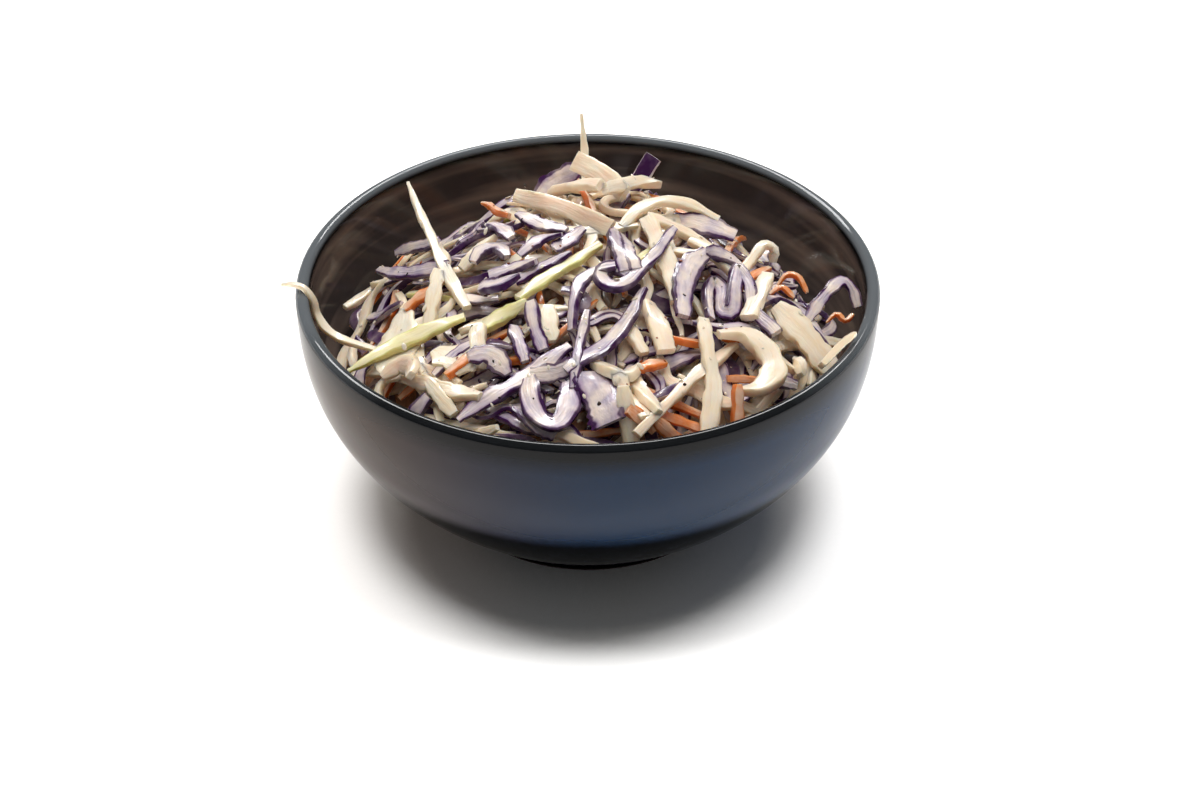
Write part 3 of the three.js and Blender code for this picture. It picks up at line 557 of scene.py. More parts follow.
# %% Landmark shreds
LANDMARKS = {
    # name: kind, places, widths at both ends, depth, lean in radians, how pointed
    "red_upper_left": (RED, [(-47, 16), (-41, 12), (-36, 8)], (2.6, 3.6), 1.4, 0.3, 0.2),
    "red_left": (RED, [(-51, 11), (-47, 3), (-41, -3), (-33, -6)], (2.8, 4.0), 1.4, 0.2, 0.2),
    "red_left_low": (RED, [(-51, -5), (-47, -9), (-44, -12)], (3.0, 2.4), 1.4, 0.2, 0.3),
    "leaf_left": (WHITE, [(-43, -12.5, 61.2), (-44, -25, 59.6), (-44.7, -37, 57.4)],
                  (8.5, 10.5), 1.4, 0.35, 0.35),
    "carrot_left": (CARROT, [(-43, -14), (-39, -12), (-35, -12)], (2.2, 3.0), 2.0, 0.0, 0.1),
    "strip_by_reed": (WHITE, [(-35, -8), (-36, -15), (-37, -22)], (3.6, 3.2), 2.0, 0.0, 0.1),
    "cream_back_left": (WHITE, [(-30, -5), (-26, -1), (-22, 2)], (3.2, 3.4), 2.0, 0.0, 0.2),
    "lilac_arch": (RED, [(-27, -7), (-25, -4), (-21, -4), (-19, -8)], (4.0, 3.6), 1.7, 0.0, 0.2),
    "grey_lilac": (RED, [(-25, 12), (-22, 5), (-18, -3)], (3.2, 3.8), 1.4, 0.2, 0.2),
    "carrot_hook": (CARROT, [(-26, 21), (-24, 19), (-22, 15), (-19, 12)], (1.2, 2.2), 1.8, 0.0, 0.2),
    "green_strip": (GREEN, [(-55.3, -33, 57.3), (-45, -28, 60.8), (-37, -26, 63.8), (-28.4, -25, 67.2)],
                    (2.6, 5.4), 1.8, 0.2, 0.35),
    "yellow_stub": (GREEN, [(-27, -29), (-22, -27), (-14, -24)], (4.6, 3.4), 2.2, 0.0, 0.3),
    "tan_leaf": (WHITE, [(-35, -32), (-30, -37), (-25, -41)], (8.0, 9.0), 1.4, 0.2, 0.35),
    "white_post": (WHITE, [(-25, -30), (-25, -36), (-24, -41)], (3.8, 4.0), 2.2, 0.0, 0.05),
    "carrot_pale": (CARROT, [(-32, -42), (-29, -40), (-26, -38)], (2.6, 2.6), 2.0, 0.0, 0.1),
    "red_gloss_a": (RED, [(-35, -40), (-30, -36), (-24, -34)], (3.0, 3.4), 1.4, -0.1, 0.2),
    "red_gloss_b": (RED, [(-23, -34), (-20, -35), (-17, -36)], (3.8, 3.6), 1.4, 0.0, 0.2),
    "violet_chunk": (RED, [(-27, -41), (-22, -39), (-18, -43)], (4.6, 5.6), 2.0, 0.0, 0.3),
    "white_fork": (WHITE, [(-43, -36), (-36, -42), (-30, -47), (-24, -50)], (2.8, 4.2), 2.2, 0.0, 0.2),
    "white_fork_stem": (WHITE, [(-36, -43), (-33, -48), (-30, -52)], (3.0, 3.4), 2.0, 0.0, 0.2),
    "knob_left": (WHITE, [(-47, -38), (-43, -36), (-40, -39), (-40, -44)], (4.0, 5.0), 2.6, 0.0, 0.4),
    "lilac_front": (RED, [(-41, -48), (-38, -47), (-36, -46)], (3.2, 3.4), 1.4, 0.0, 0.1),
    "cream_tail": (WHITE, [(-31, -55), (-25, -57), (-20, -59)], (3.0, 2.6), 2.0, 0.0, 0.2),
    "red_wet": (RED, [(-29, -54), (-20, -48), (-12, -43), (-4, -37)], (3.8, 5.6), 1.5, 0.0, 0.3),
    "lilac_band": (RED, [(-13, -45), (-7, -45), (-1, -41)], (4.8, 3.8), 1.4, 0.1, 0.2),
    "front_strip": (RED, [(-16, -53), (-12, -57), (-7, -61)], (4.4, 4.8), 1.4, 0.3, 0.1),
    "front_u": (RED, [(-13, -46), (-12.5, -54), (-10, -59), (-6.5, -59.8), (-4.2, -55), (-4, -47)],
                (4.8, 5.0), 1.3, 0.0, 0.1),
    "front_leaf": (RED, [(0, -45), (3, -52), (5, -59)], (9.0, 9.5), 1.2, 0.1, 0.15),
    "cream_by_leaf": (WHITE, [(8, -54), (9.5, -58), (10.5, -61)], (4.6, 4.0), 2.0, 0.0, 0.3),
    "carrot_low_left": (CARROT, [(9, -57), (12, -57), (15, -58)], (3.2, 2.8), 2.0, 0.0, 0.1),
    "carrot_low": (CARROT, [(15, -57), (19, -57), (24, -56)], (3.4, 3.0), 2.2, 0.0, 0.1),
    "tan_leaf_front": (WHITE, [(8.5, -47), (11, -53), (13, -58)], (5.0, 4.4), 1.4, 0.2, 0.2),
    "white_front": (WHITE, [(10, -44), (13, -51), (16, -57)], (3.8, 3.4), 2.2, 0.0, 0.2),
    "white_hook": (WHITE, [(1, -42), (5, -45), (9, -47), (11, -43)], (3.4, 4.4), 2.6, 0.0, 0.3),
    "white_hook_knob": (WHITE, [(6, -46), (8, -49), (9, -52)], (4.0, 3.0), 2.4, 0.0, 0.4),
    "tan_cross": (WHITE, [(11, -62), (23, -46), (34, -31)], (2.6, 2.8), 2.0, 0.0, 0.1),
    "carrot_mid": (CARROT, [(11, -45), (14, -42), (18, -40)], (2.0, 3.2), 2.0, 0.0, 0.4),
    "carrot_back": (CARROT, [(17, -32), (22, -33), (27, -33)], (2.4, 2.4), 1.8, 0.0, 0.2),
    "carrot_right": (CARROT, [(31, -30), (35, -30), (39, -29)], (2.2, 2.4), 1.8, 0.0, 0.2),
    "carrot_front": (CARROT, [(34, -46), (34, -50), (34, -54)], (2.6, 2.8), 2.0, 0.0, 0.1),
    "white_down": (WHITE, [(26.5, -29), (27.5, -38), (28.5, -47), (27, -57)], (3.4, 4.4), 2.2, 0.0, 0.12),
    "cream_lump": (WHITE, [(30, -33), (36, -31), (41, -34), (42.5, -40), (39, -45), (34, -45)],
                   (5.6, 5.6), 3.0, 0.0, 0.4),
    "lilac_right": (RED, [(40, -37), (44, -39), (48, -37)], (3.4, 3.6), 1.4, 0.0, 0.2),
    "tan_right": (WHITE, [(40, -32), (44, -33), (48, -33)], (3.0, 2.6), 2.0, 0.0, 0.2),
    "teardrop": (WHITE, [(48, -28), (49, -31), (49, -36)], (2.2, 3.6), 2.6, 0.0, 0.4),
    "big_white_right": (WHITE, [(44, -17), (51, -23), (57, -28)], (7.0, 8.5), 2.2, 0.25, 0.3),
    "rim_right": (WHITE, [(53.5, -38), (58, -32), (62, -27)], (3.0, 1.4), 1.8, 0.0, 0.2),
    "red_arch_right": (RED, [(40, -15), (45, -10), (51, -11), (57, -20)], (3.8, 3.0), 1.5, 0.1, 0.2),
    "red_loop": (RED, [(38, -21), (41, -20), (43, -23), (40, -25)], (2.8, 2.8), 1.5, 0.0, 0.2),
    "red_arc_wall": (RED, [(51, -15, 58), (55, -8, 60), (60.5, 0.5, 60.3), (63.6, 0.5, 58), (65, -2.5, 55)],
                     (3.0, 3.2), 1.2, 0.5, 0.15),
    "carrot_curl_a": (CARROT, [(45, -2, 60), (47.5, 1, 61.8), (50.5, 0.5, 61.6), (52.5, -3, 59.5)],
                      (1.0, 1.7), 1.3, 0.0, 0.35),
    "carrot_curl_b": (CARROT, [(56.5, -13, 57.5), (59, -11, 58.6), (61, -12.5, 57.6), (63, -10.5, 58.2)],
                      (0.9, 1.5), 1.2, 0.0, 0.35),
    "carrot_curl_c": (CARROT, [(43, -8, 62), (46, -6, 63), (49, -8, 61.4)], (1.0, 1.5), 1.2, 0.0, 0.35),
    "stub_right": (WHITE, [(42.5, -9.5, 68.5), (40, -17, 68), (37.5, -24.5, 66.5)],
                   (3.4, 4.8), 2.2, 0.2, 0.05),
    "hook_right": (WHITE, [(35, -4, 63.5), (38.5, 1, 65), (42, 6, 67), (44.6, 6.6, 65.8), (44.6, 5.5, 62.7)],
                   (2.4, 2.8), 1.8, 0.0, 0.15),
    "long_right": (WHITE, [(24, 0), (31, -4), (39, -11)], (3.2, 3.6), 2.2, 0.0, 0.2),
    "cream_diag": (WHITE, [(14, 5), (22, 4), (30, 1)], (3.2, 2.8), 2.0, 0.0, 0.2),
    "cream_u": (WHITE, [(20, -5), (26, -6), (31, -3)], (2.6, 2.6), 2.0, 0.0, 0.2),
    "red_leaf_back": (RED, [(19, 12, 70.6), (27, 10.5, 70.6), (35.5, 8, 68.6)], (5.0, 7.0), 1.1, 0.45, 0.3),
    "arch": (WHITE, [(8, 2, 74.8), (12.5, 8, 76.2), (18, 12, 75.8), (24.5, 14, 73.6), (31.5, 12, 70.6)],
             (3.4, 2.6), 1.8, 0.2, 0.15),
    "white_side": (WHITE, [(9, -30), (11, -34), (13, -38)], (3.2, 3.6), 2.0, 0.0, 0.2),
    "cream_mid": (WHITE, [(-9, -24), (-9, -29), (-8, -34)], (5.0, 4.4), 2.0, 0.0, 0.3),
    "lilac_pair_a": (RED, [(-17, -29), (-16, -34), (-14, -40)], (3.6, 3.2), 1.4, 0.0, 0.1),
    "lilac_pair_b": (RED, [(-13, -25), (-12, -31), (-10, -37)], (3.6, 3.4), 1.4, 0.0, 0.1),
    "white_block": (WHITE, [(14, -24), (16, -31), (18, -39)], (3.8, 5.2), 2.4, 0.0, 0.05),
    "white_spine": (WHITE, [(14, 3), (18, -8), (21, -22)], (5.0, 4.0), 2.4, 0.0, 0.1),
    "fold_base": (RED, [(24, -29), (31, -28), (40, -25)], (4.4, 4.8), 1.4, 0.2, 0.2),
    "fold_inner": (RED, [(28.5, -24), (28, -15), (29.5, -8), (31.5, -12), (31.6, -20), (33.6, -22),
                         (34.6, -13), (35.6, -8.5), (38, -14), (39, -22), (43.5, -29)],
                   (3.0, 3.8), 2.0, 0.25, 0.1),
    "fold_outer": (RED, [(22, -28), (22.3, -18), (24.5, -10), (28, -5.5)], (6.0, 5.0), 1.6, -0.2, 0.15),
    "fold_back": (RED, [(28, -6), (33, -5), (37, -7.5)], (3.4, 3.6), 1.8, 0.2, 0.2),
    "red_barrel": (RED, [(7, -1), (8, -9), (10, -17)], (6.0, 6.6), 2.0, 0.0, 0.1),
    "dark_hook": (RED, [(-6, -19), (-3, -20), (-1, -23), (-2, -28)], (3.2, 3.4), 1.5, 0.0, 0.2),
    "red_long": (RED, [(13, -20), (9, -31), (3, -39), (-5, -45)], (3.8, 5.2), 1.5, 0.2, 0.2),
    "squiggle": (RED, [(20.5, 1), (17, -8), (13, -15), (9, -20.5), (5, -21.5), (3, -18), (6, -15.5),
                       (9.5, -18)], (2.6, 4.2), 1.7, 0.0, 0.2),
    "squiggle_tail": (RED, [(6.5, -16.5), (2, -17), (-1.5, -20), (-3, -26), (-3.5, -33)],
                      (3.4, 2.8), 1.7, 0.0, 0.15),
    "thin_down": (RED, [(0, -28), (-2, -40), (-3, -50)], (2.2, 2.8), 1.5, 0.0, 0.1),
    "yellow_strip": (GREEN, [(-16, -23), (-7, -15), (3, -7)], (3.3, 2.4), 1.8, 0.0, 0.1),
    "wet_pair": (RED, [(-17, -16), (-11, -13), (-4, -9)], (3.4, 3.2), 1.4, 0.0, 0.2),
    "barrel_left": (RED, [(-25, -16), (-21, -20), (-16, -18)], (5.0, 5.8), 2.0, 0.0, 0.3),
    "red_bar": (RED, [(-23, -12), (-18, -12), (-12, -13)], (3.6, 3.8), 1.4, 0.2, 0.1),
    "petal": (RED, [(-8, -8), (-5, -5), (-1, 0)], (4.6, 3.4), 1.2, 0.2, 0.3),
    "crescent_a": (RED, [(-17, 8), (-12, 3), (-5, -2)], (3.0, 4.2), 1.4, 0.2, 0.3),
    "crescent_b": (RED, [(-16, -9), (-11, -5), (-6, -5)], (3.4, 3.4), 1.4, 0.2, 0.3),
    "peak_cream": (WHITE, [(-9, 22), (-3, 15), (3, 9)], (3.4, 3.2), 2.2, 0.0, 0.1),
    "wedge": (WHITE, [(-17.5, 16, 75.2), (-6, 8, 76.6), (5.5, 0, 75.6)], (3.4, 4.6), 1.8, 0.8, 0.02),
    "peak_pole": (WHITE, [(17, 27), (11, 18), (4, 9)], (2.8, 3.2), 2.2, 0.0, 0.06),
    "peak_wedge": (WHITE, [(-3, 26, 79), (3, 20, 78.8), (9, 13, 77.4)], (5.4, 4.6), 1.8, 0.9, 0.02),
    "peak_red": (RED, [(-13, 21, 70.5), (-8, 26, 73), (-2.5, 29, 75)], (5.0, 6.0), 1.1, 0.7, 0.25),
    "red_upright": (RED, [(10.6, 24, 71.5), (13.2, 26, 75), (16.1, 28, 78.9)], (3.6, 4.6), 1.4, 0.5, 0.03),
    "reed": (WHITE, [(-28, -20, 66.3), (-31, -13, 67), (-34.5, -5, 69), (-38, 7, 70), (-41, 15.5, 71.2),
                     (-44, 24, 74)], (3.4, 1.3), 1.8, 0.0, 0.15),
    "left_rim": (WHITE, [(-73, -4, 62.4), (-70, -5.3, 63.2), (-67.3, -6.5, 62.9), (-65.4, -7.6, 60.3),
                         (-64.6, -8.6, 57), (-62, -11.5, 54.5), (-58, -14.5, 53.6), (-50, -20, 54.5)],
                 (1.4, 2.8), 1.4, 0.0, 0.3),
    "sliver": (WHITE, [(-0.5, 27, 72), (-0.7, 33, 74.5), (-1.2, 38, 78.5), (-1.7, 42, 83)],
               (2.6, 0.9), 1.2, 0.0, 0.1),
}
FREE_ENDS = {  # heights of a first or last end that stands clear of the heap
    "red_upper_left": (58.5, None), "red_left": (57, None), "carrot_hook": (70, None),
    "rim_right": (None, 60.5), "petal": (None, 74), "peak_pole": (71.5, None),
}
SKIN_SIDE_UP = {"red_upright", "dark_hook", "red_gloss_b", "red_left_low", "red_loop"}
print("shreds placed by hand:", len(LANDMARKS))

# %% [markdown]
# ## Room for the shreds on top
# Chance shreds come first, and they may not bury the listed ones or make the heap taller than it is.
# So the height that they may fill is worked out beforehand: the heap's own surface, lower by the depth of
# every shred that will cross there, lower still in the hollows, but never so low that the bed shows bare.

# %% Wanted height
SHRED_ROOM = 2.6  # what a shred adds to the height where it is laid
MOST_KEPT, KEPT_SHARE = 5.5, 0.7  # most depth that counts where top shreds cross, and its share kept free
BED_COVER = 2.6  # the least height of shreds over the bed
SHADOW = np.linspace(-0.6, 0.6, 13)  # where across its width a top shred keeps room

kept_room = np.zeros_like(ground)
for _, places, width, depth, *_ in LANDMARKS.values():
    path = path_through(places)[:, :2]
    spots = path[:, None] + to_the_left(path)[:, None] * (SHADOW[:, None] * max(width))
    covered = np.zeros(ground.shape, bool)
    covered[cell_of(spots[..., 0]), cell_of(spots[..., 1])] = True
    kept_room += covered * depth
wanted = heap_height(map_x, map_y) - SHRED_ROOM - KEPT_SHARE * np.minimum(kept_room, MOST_KEPT)
wanted -= TOP_HOLLOW * hollow(map_x, map_y)
wanted = np.maximum(wanted, bed_height(map_x, map_y) + BED_COVER)
print("part of the map where top shreds keep room:", (kept_room > 0).mean().round(2))

# %% [markdown]
# ## Laying them all
# Each chance shred tries a few places and takes the one with most room left under the wanted height. It is
# left out where there is too little, so the heap fills evenly and then stops. The listed shreds follow, in
# their order, and the last ones lie on top.

# %% Lay chance shreds, then the others
SHREDS, TRIES = 1150, 6  # how many are offered, and how many places each one tries
LEAST_ROOM = 1.6  # a shred is only laid where the heap still wants this much
PALE_PLACES = [(3, 12, 22), (-37, -37, 15), (30, -48, 9)]  # where most shreds are white: place and radius
PALE_CHANCE, SKIN_UP_CHANCE = 0.9, 0.28
LEAN_SPREAD, CHANCE_POINTS = 0.3, (0.05, 0.4)
LEAF_LAYERS = [1, 1, 1, 1, 1, 2]  # one cut in six goes through two leaves
THIN_LEAF, TWO_LEAVES = 1.55, 6.2  # a cut is two leaves if it is deeper and wider than these
WELL_INSIDE = 58  # radius within which the finished surface is measured


def room_over(path):
    """Mean height still missing from the wanted surface along a path."""
    spots = cell_of(path[:, 0]), cell_of(path[:, 1])
    return float((wanted[spots] - ground[spots]).mean())


shares = np.array([row[0] for row in KINDS.values()])
for _ in range(SHREDS):
    kind = str(rng.choice(list(KINDS), p=shares / shares.sum()))
    path = max([chance_path(kind) for _ in range(TRIES)], key=room_over)
    if room_over(path) < LEAST_ROOM:
        continue
    pale = any(np.hypot(*(path.mean(0) - (px, py))) < radius for px, py, radius in PALE_PLACES)
    if kind == RED and pale and rng.random() < PALE_CHANCE:
        kind = WHITE
    _, _, width, depth, _, _, _ = KINDS[kind]
    place_shred(kind, path, rng.uniform(*width, 2), rng.uniform(*depth), rng.normal(0, LEAN_SPREAD, 2),
                np.maximum(wanted, wall_surface), point=rng.uniform(*CHANCE_POINTS),
                layers=rng.choice(LEAF_LAYERS), skin_up=rng.random() < SKIN_UP_CHANCE)
print("shreds laid by chance:", {kind: len(rows) for kind, rows in laid.items()})
for name, (kind, places, width, depth, lean, point) in LANDMARKS.items():
    layers = 1 + int(max(width) > TWO_LEAVES and depth > THIN_LEAF)
    place_shred(kind, path_through(places), width, depth, (lean, lean), heap_top + TOP_CEILING,
                FREE_ENDS.get(name, (None, None)), point, layers, name in SKIN_SIDE_UP)
over = (ground - heap_height(map_x, map_y))[map_radius < WELL_INSIDE]
print("surface over the heap formula, 5, 50 and 95 percent:", np.percentile(over, (5, 50, 95)).round(1))

# %% [markdown]
# ## One mesh for each vegetable
# Three hundred shreds as objects of their own would make the file slow and the outliner unreadable. Shreds
# of a kind share a material, so they are joined into one mesh by stacking their arrays. Every shred is
# still a closed solid in it. What the material has to know of each point travels with it as an attribute.

# %% Join each kind into one piece
def join_kind(rows):
    """Points, quads and attributes of all shreds of one kind, as joined arrays."""
    points, quads, start = [], [], 0
    named = {"across": [], "along": [], "tone": [], "layers": []}
    for centre, roll, width, depth, tone, layers, skin_up in rows:
        p, q = sweep(centre, roll, width, depth)
        points.append(p)
        quads.append(q + start)
        start += len(p)
        named["across"].append(np.tile(section_y if skin_up else section_x, len(centre)))
        named["along"].append(np.repeat(np.arange(len(centre)) * STEP, SECTION))
        named["tone"].append(np.full(len(p), tone))
        named["layers"].append(np.full(len(p), layers))
    return np.vstack(points), np.vstack(quads), {key: np.concatenate(parts) for key, parts in named.items()}


print("shreds to join:", sum(len(rows) for rows in laid.values()))

# %% [markdown]
# ## Dressed vegetables
# Each vegetable starts from its own colour on the cut face and its skin colour on the two sides. Over both
# lies the dressing: an ivory film of oil, egg and cream, thick in patches and nearly clear between them. It
# makes everything paler and wet, so the shader has a clear coat, and light soaks a millimetre into the
# flesh. Painting the layers one over another, as they lie on the real thing, keeps each colour easy to
# find.

# %% Vegetable materials
IVORY = "#f8ebdc"  # the dressing where it is thick
RAGGED, BLOTS, PATCHES = 2.381, 3.846, 5.263  # mm: rags of the skin's edge, blots, film patches
FIBRE, SLOW = (2.6, 0.14, 40), (0.9, 0.13, 25)  # fibres 7 mm long, and slower waves: across, along, by tone
FLESH_IOR, FLESH_ROUGHNESS = 1.36, 0.34  # watery flesh under a film of oil
SOAK_BY_COLOUR = (1.0, 0.8, 0.6)  # red light soaks deepest


def vegetable(name, face, skin, skin_width, stain, film, soak, relief):
    """Painted one over another: the face, its streaks along the fibres, blots of stain on some shreds, a
    paler fringe beside the skin, the ivory film in patches, and the skin, which the film hides only a little.
    The distance from the leaf's nearer skin, made ragged by noise, says where skin and fringe end. Soak and
    relief are depths in mm."""
    material, add, place = new_material(name)
    across, along, tone, layers = (add("Attribute", attribute_name=key).outputs["Fac"]
                                   for key in ("across", "along", "tone", "layers"))
    in_shred = add("CombineXYZ", {0: across, 1: along, 2: tone})
    fibre, slow = (
        add("TexNoise", {"Vector": add("Mapping", {"Vector": in_shred, "Scale": scale}), "Scale": 1.0,
                         "Detail": detail})
        for scale, detail in ((FIBRE, 3.0), (SLOW, 1.0)))
    ragged, blot, patch = (
        add("TexNoise", {"Vector": place, "Scale": every(size), "Detail": detail})
        for size, detail in ((RAGGED, 2.0), (BLOTS, 3.0), (PATCHES, 3.0)))
    place_across = add("MapRange", {"Value": across, 1: -1.0, 2: 1.0, 4: layers})
    from_skin = add("Math", {0: place_across, 1: 0.5}, operation="PINGPONG")
    for noise, sway in ((ragged, -0.12), (slow, -0.22)):
        from_skin = add("Math", {0: noise, 1: sway, 2: from_skin}, operation="MULTIPLY_ADD")
    skinness = add("MapRange", {
        "Value": from_skin, 1: skin_width - 0.17, 2: skin_width - 0.11, 3: 1.0, 4: 0.0})
    fringe = add("MapRange", {
        "Value": from_skin, 1: skin_width - 0.14, 2: skin_width + 0.02, 3: 0.55, 4: 0.0})
    streaks = add("MapRange", {"Value": fibre, 1: 0.35, 2: 0.7})
    mottle = add("Math", {0: blot, 1: 1.6, 2: tone}, operation="MULTIPLY_ADD")
    stained = add("MapRange", {"Value": mottle, 1: 1.25, 2: 1.8, 4: 0.7})
    dressed = add("MapRange", {"Value": patch, 1: 0.40, 2: 0.66, 3: film[0], 4: film[1]})
    thin_film = add("Math", {0: dressed, 1: -0.35, 2: 1.0}, operation="MULTIPLY_ADD")
    bare_skin = add("Math", {0: skinness, 1: thin_film}, operation="MULTIPLY")
    colour = linear(face[0])
    for share, paint in ((streaks, face[1]), (stained, stain), (fringe, skin[1]), (dressed, IVORY),
                         (bare_skin, skin[0])):
        colour = add("Mix", {0: share, 6: colour, 7: linear(paint)}, data_type="RGBA")
    height = add("Math", {0: fibre, 1: patch}, operation="ADD")
    bump = add("Bump", {"Strength": 0.6, "Distance": relief * MM, "Height": height})
    shader = add("BsdfPrincipled", {
        "Base Color": colour, "Roughness": FLESH_ROUGHNESS, "IOR": FLESH_IOR, "Normal": bump,
        "Subsurface Weight": 0.7, "Subsurface Radius": SOAK_BY_COLOUR, "Subsurface Scale": soak * MM,
        "Coat Weight": 0.36, "Coat Roughness": 0.09})
    add("OutputMaterial", {"Surface": shader})
    return material


MATERIALS = {
    # kind: name, face and streaks, skin and fringe, skin's width, stain, film from and to, soak, relief
    RED: vegetable("sliced_red_cabbage", ("#e6dadf", "#b3a8bc"), ("#390b47", "#7d4896"), 0.10, "#8c809c",
                   (0.0, 0.75), 0.5, 0.6),
    WHITE: vegetable("sliced_white_cabbage", ("#feefdb", "#f6dec0"), ("#f6e2c6", "#f6e3ca"), 0.05, "#f3d2b8",
                     (0.1, 0.7), 1.5, 0.45),
    CARROT: vegetable("sliced_carrot", ("#f39a58", "#e6823c"), ("#e07c36", "#e88a44"), 0.05, "#f0bc98",
                      (0.05, 0.6), 1.8, 0.4),
    GREEN: vegetable("sliced_green_cabbage", ("#f5edc2", "#efe6a8"), ("#e0dc96", "#efe8ae"), 0.10, "#f4ead0",
                     (0.0, 0.4), 1.8, 0.3),
}
for kind, rows in laid.items():
    points, quads, attributes = join_kind(rows)
    piece = make_piece(kind, points, quads, MATERIALS[kind], attributes, crease=55)
    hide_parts("coleslaw")
    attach(piece, "root")

# %% [markdown]
# ## The bed
# Under the top shreds lies a dense mass of more of the same, held together by dressing and in deep shade.
# It could be filled with shreds too, but nothing of them would be seen, so it is one closed lumpy solid.
# Its top is the bed's height formula, and below it follows the bowl's wall with a little air between them.

# %% Bed
BED_SIDES, TOP_RINGS, WALL_RINGS = 160, 56, 16
BED_HUB = 0.01  # share of the radius at which the middle is closed
WALL_GAP, SHORE_ROUND = 0.4, 0.6  # air between bed and wall, and the first step down at the shore
STEPS_TO_WALL = 40
shore = circle(BED_SIDES)
bed_reach = np.full(BED_SIDES, SHORE_RADIUS)
for _ in range(STEPS_TO_WALL):  # each goes nearer to where the bed's own height meets the wall
    meets = inner_radius(bed_height(*(bed_reach * shore.T))) - WALL_GAP
    bed_reach = (bed_reach + meets) / 2
top_xy = np.linspace(BED_HUB, 1, TOP_RINGS)[:, None, None] * (bed_reach[:, None] * shore)[None]
top_rows = np.dstack([top_xy, bed_height(top_xy[..., 0], top_xy[..., 1])])
wall_share = np.linspace(1, 0, WALL_RINGS)[:, None] ** CROWDING
side_z = FLOOR_Z + WALL_GAP + (top_rows[-1][None, :, 2] - SHORE_ROUND - FLOOR_Z - WALL_GAP) * wall_share
wall_rows = np.dstack([(inner_radius(side_z) - WALL_GAP)[..., None] * shore[None], side_z])
base_rows = wall_rows[-1:] * [BED_HUB, BED_HUB, 1]
bed_points = np.vstack([top_rows, wall_rows, base_rows]).reshape(-1, 3)
bed_quads = tube_quads(TOP_RINGS + WALL_RINGS + 1, BED_SIDES)[:, ::-1]
print("the bed meets the wall between", bed_reach.min().round(1), "and", bed_reach.max().round(1), "mm")

# %% [markdown]
# ## The bed's surface
# What shows of the bed between the shreds is a jumble of cut ends in shade, some lilac, some cream, a
# little carrot. Voronoi cells drawn out sideways and bent by noise give such ends, each with a colour from
# a ramp, and the distance to a cell's middle is its relief. The ramp's colours are darker than the shreds'
# own, as painted shade. The dressing makes it wet.

# %% Bed material
ENDS_SIZE, SWIRL_SIZE, SWIRL = 3.125, 14.29, 30.0  # the cut ends, and the noise that bends them, in mm
# painted shade: these colours are darker than those of the shreds
SHADES = [(0.0, "#56303c"), (0.3, "#9c8484"), (0.55, "#b89a7c"), (0.8, "#a5623a"), (1.0, "#c7ae92")]


def dressed_bed():
    """Mass of shreds with painted shade: brown, and darkened lilac and cream, mixed by stretched cells, wet.
    """
    material, add, place = new_material("dressed_slaw_in_shade")
    swirl = add("TexNoise", {"Vector": place, "Scale": every(SWIRL_SIZE), "Detail": 1.0})
    bent = add("VectorMath", {0: swirl.outputs["Color"], 1: (SWIRL * MM,) * 3, 2: place},
               operation="MULTIPLY_ADD")
    drawn_out = add("Mapping", {"Vector": bent, "Scale": (1.0, 0.3, 0.8)})
    pieces = add("TexVoronoi", {"Vector": drawn_out, "Scale": every(ENDS_SIZE)})
    hue = add("SeparateColor", {0: pieces.outputs["Color"]})
    ramp = add("ValToRGB", {0: hue})
    ramp.color_ramp.elements[0].color = linear(SHADES[0][1])
    ramp.color_ramp.elements[1].color = linear(SHADES[-1][1])
    for position, shade in SHADES[1:-1]:
        ramp.color_ramp.elements.new(position).color = linear(shade)
    bump = add("Bump", {"Strength": 1.0, "Distance": 1.2 * MM, "Height": pieces.outputs["Distance"]})
    shader = add("BsdfPrincipled", {"Base Color": ramp, "Roughness": 0.35, "IOR": 1.42, "Normal": bump})
    add("OutputMaterial", {"Surface": shader})
    return material


bed = make_piece("slaw_bed", bed_points, bed_quads, dressed_bed())
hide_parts("coleslaw")
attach(bed, "root")

# %% [markdown]
# ## Dressing and pepper
# The dressing gathers in drops on the shreds, and ground pepper and paprika stick to it. Each drop or grain
# is a small lump with a few dozen faces, a copy of one rounded shape that is squashed, turned and set on
# the height map. All copies are worked out in one array, which keeps them real mesh for every viewer.

# %% Lumps on the surface
LUMP_REACH = 56  # lumps stay this near the axis
LUMP_ROWS, LUMP_COLUMNS, POLE = 6, 8, 0.03  # its first row lies this angle from the pole
LONGER, WIDER = (0.8, 1.5), (0.7, 1.1)  # how a lump is stretched
MOSTLY_SMALL = 2.5  # the power that makes large lumps rare
STEEPEST = 0.8  # a lump leans with the map's slope, up to this


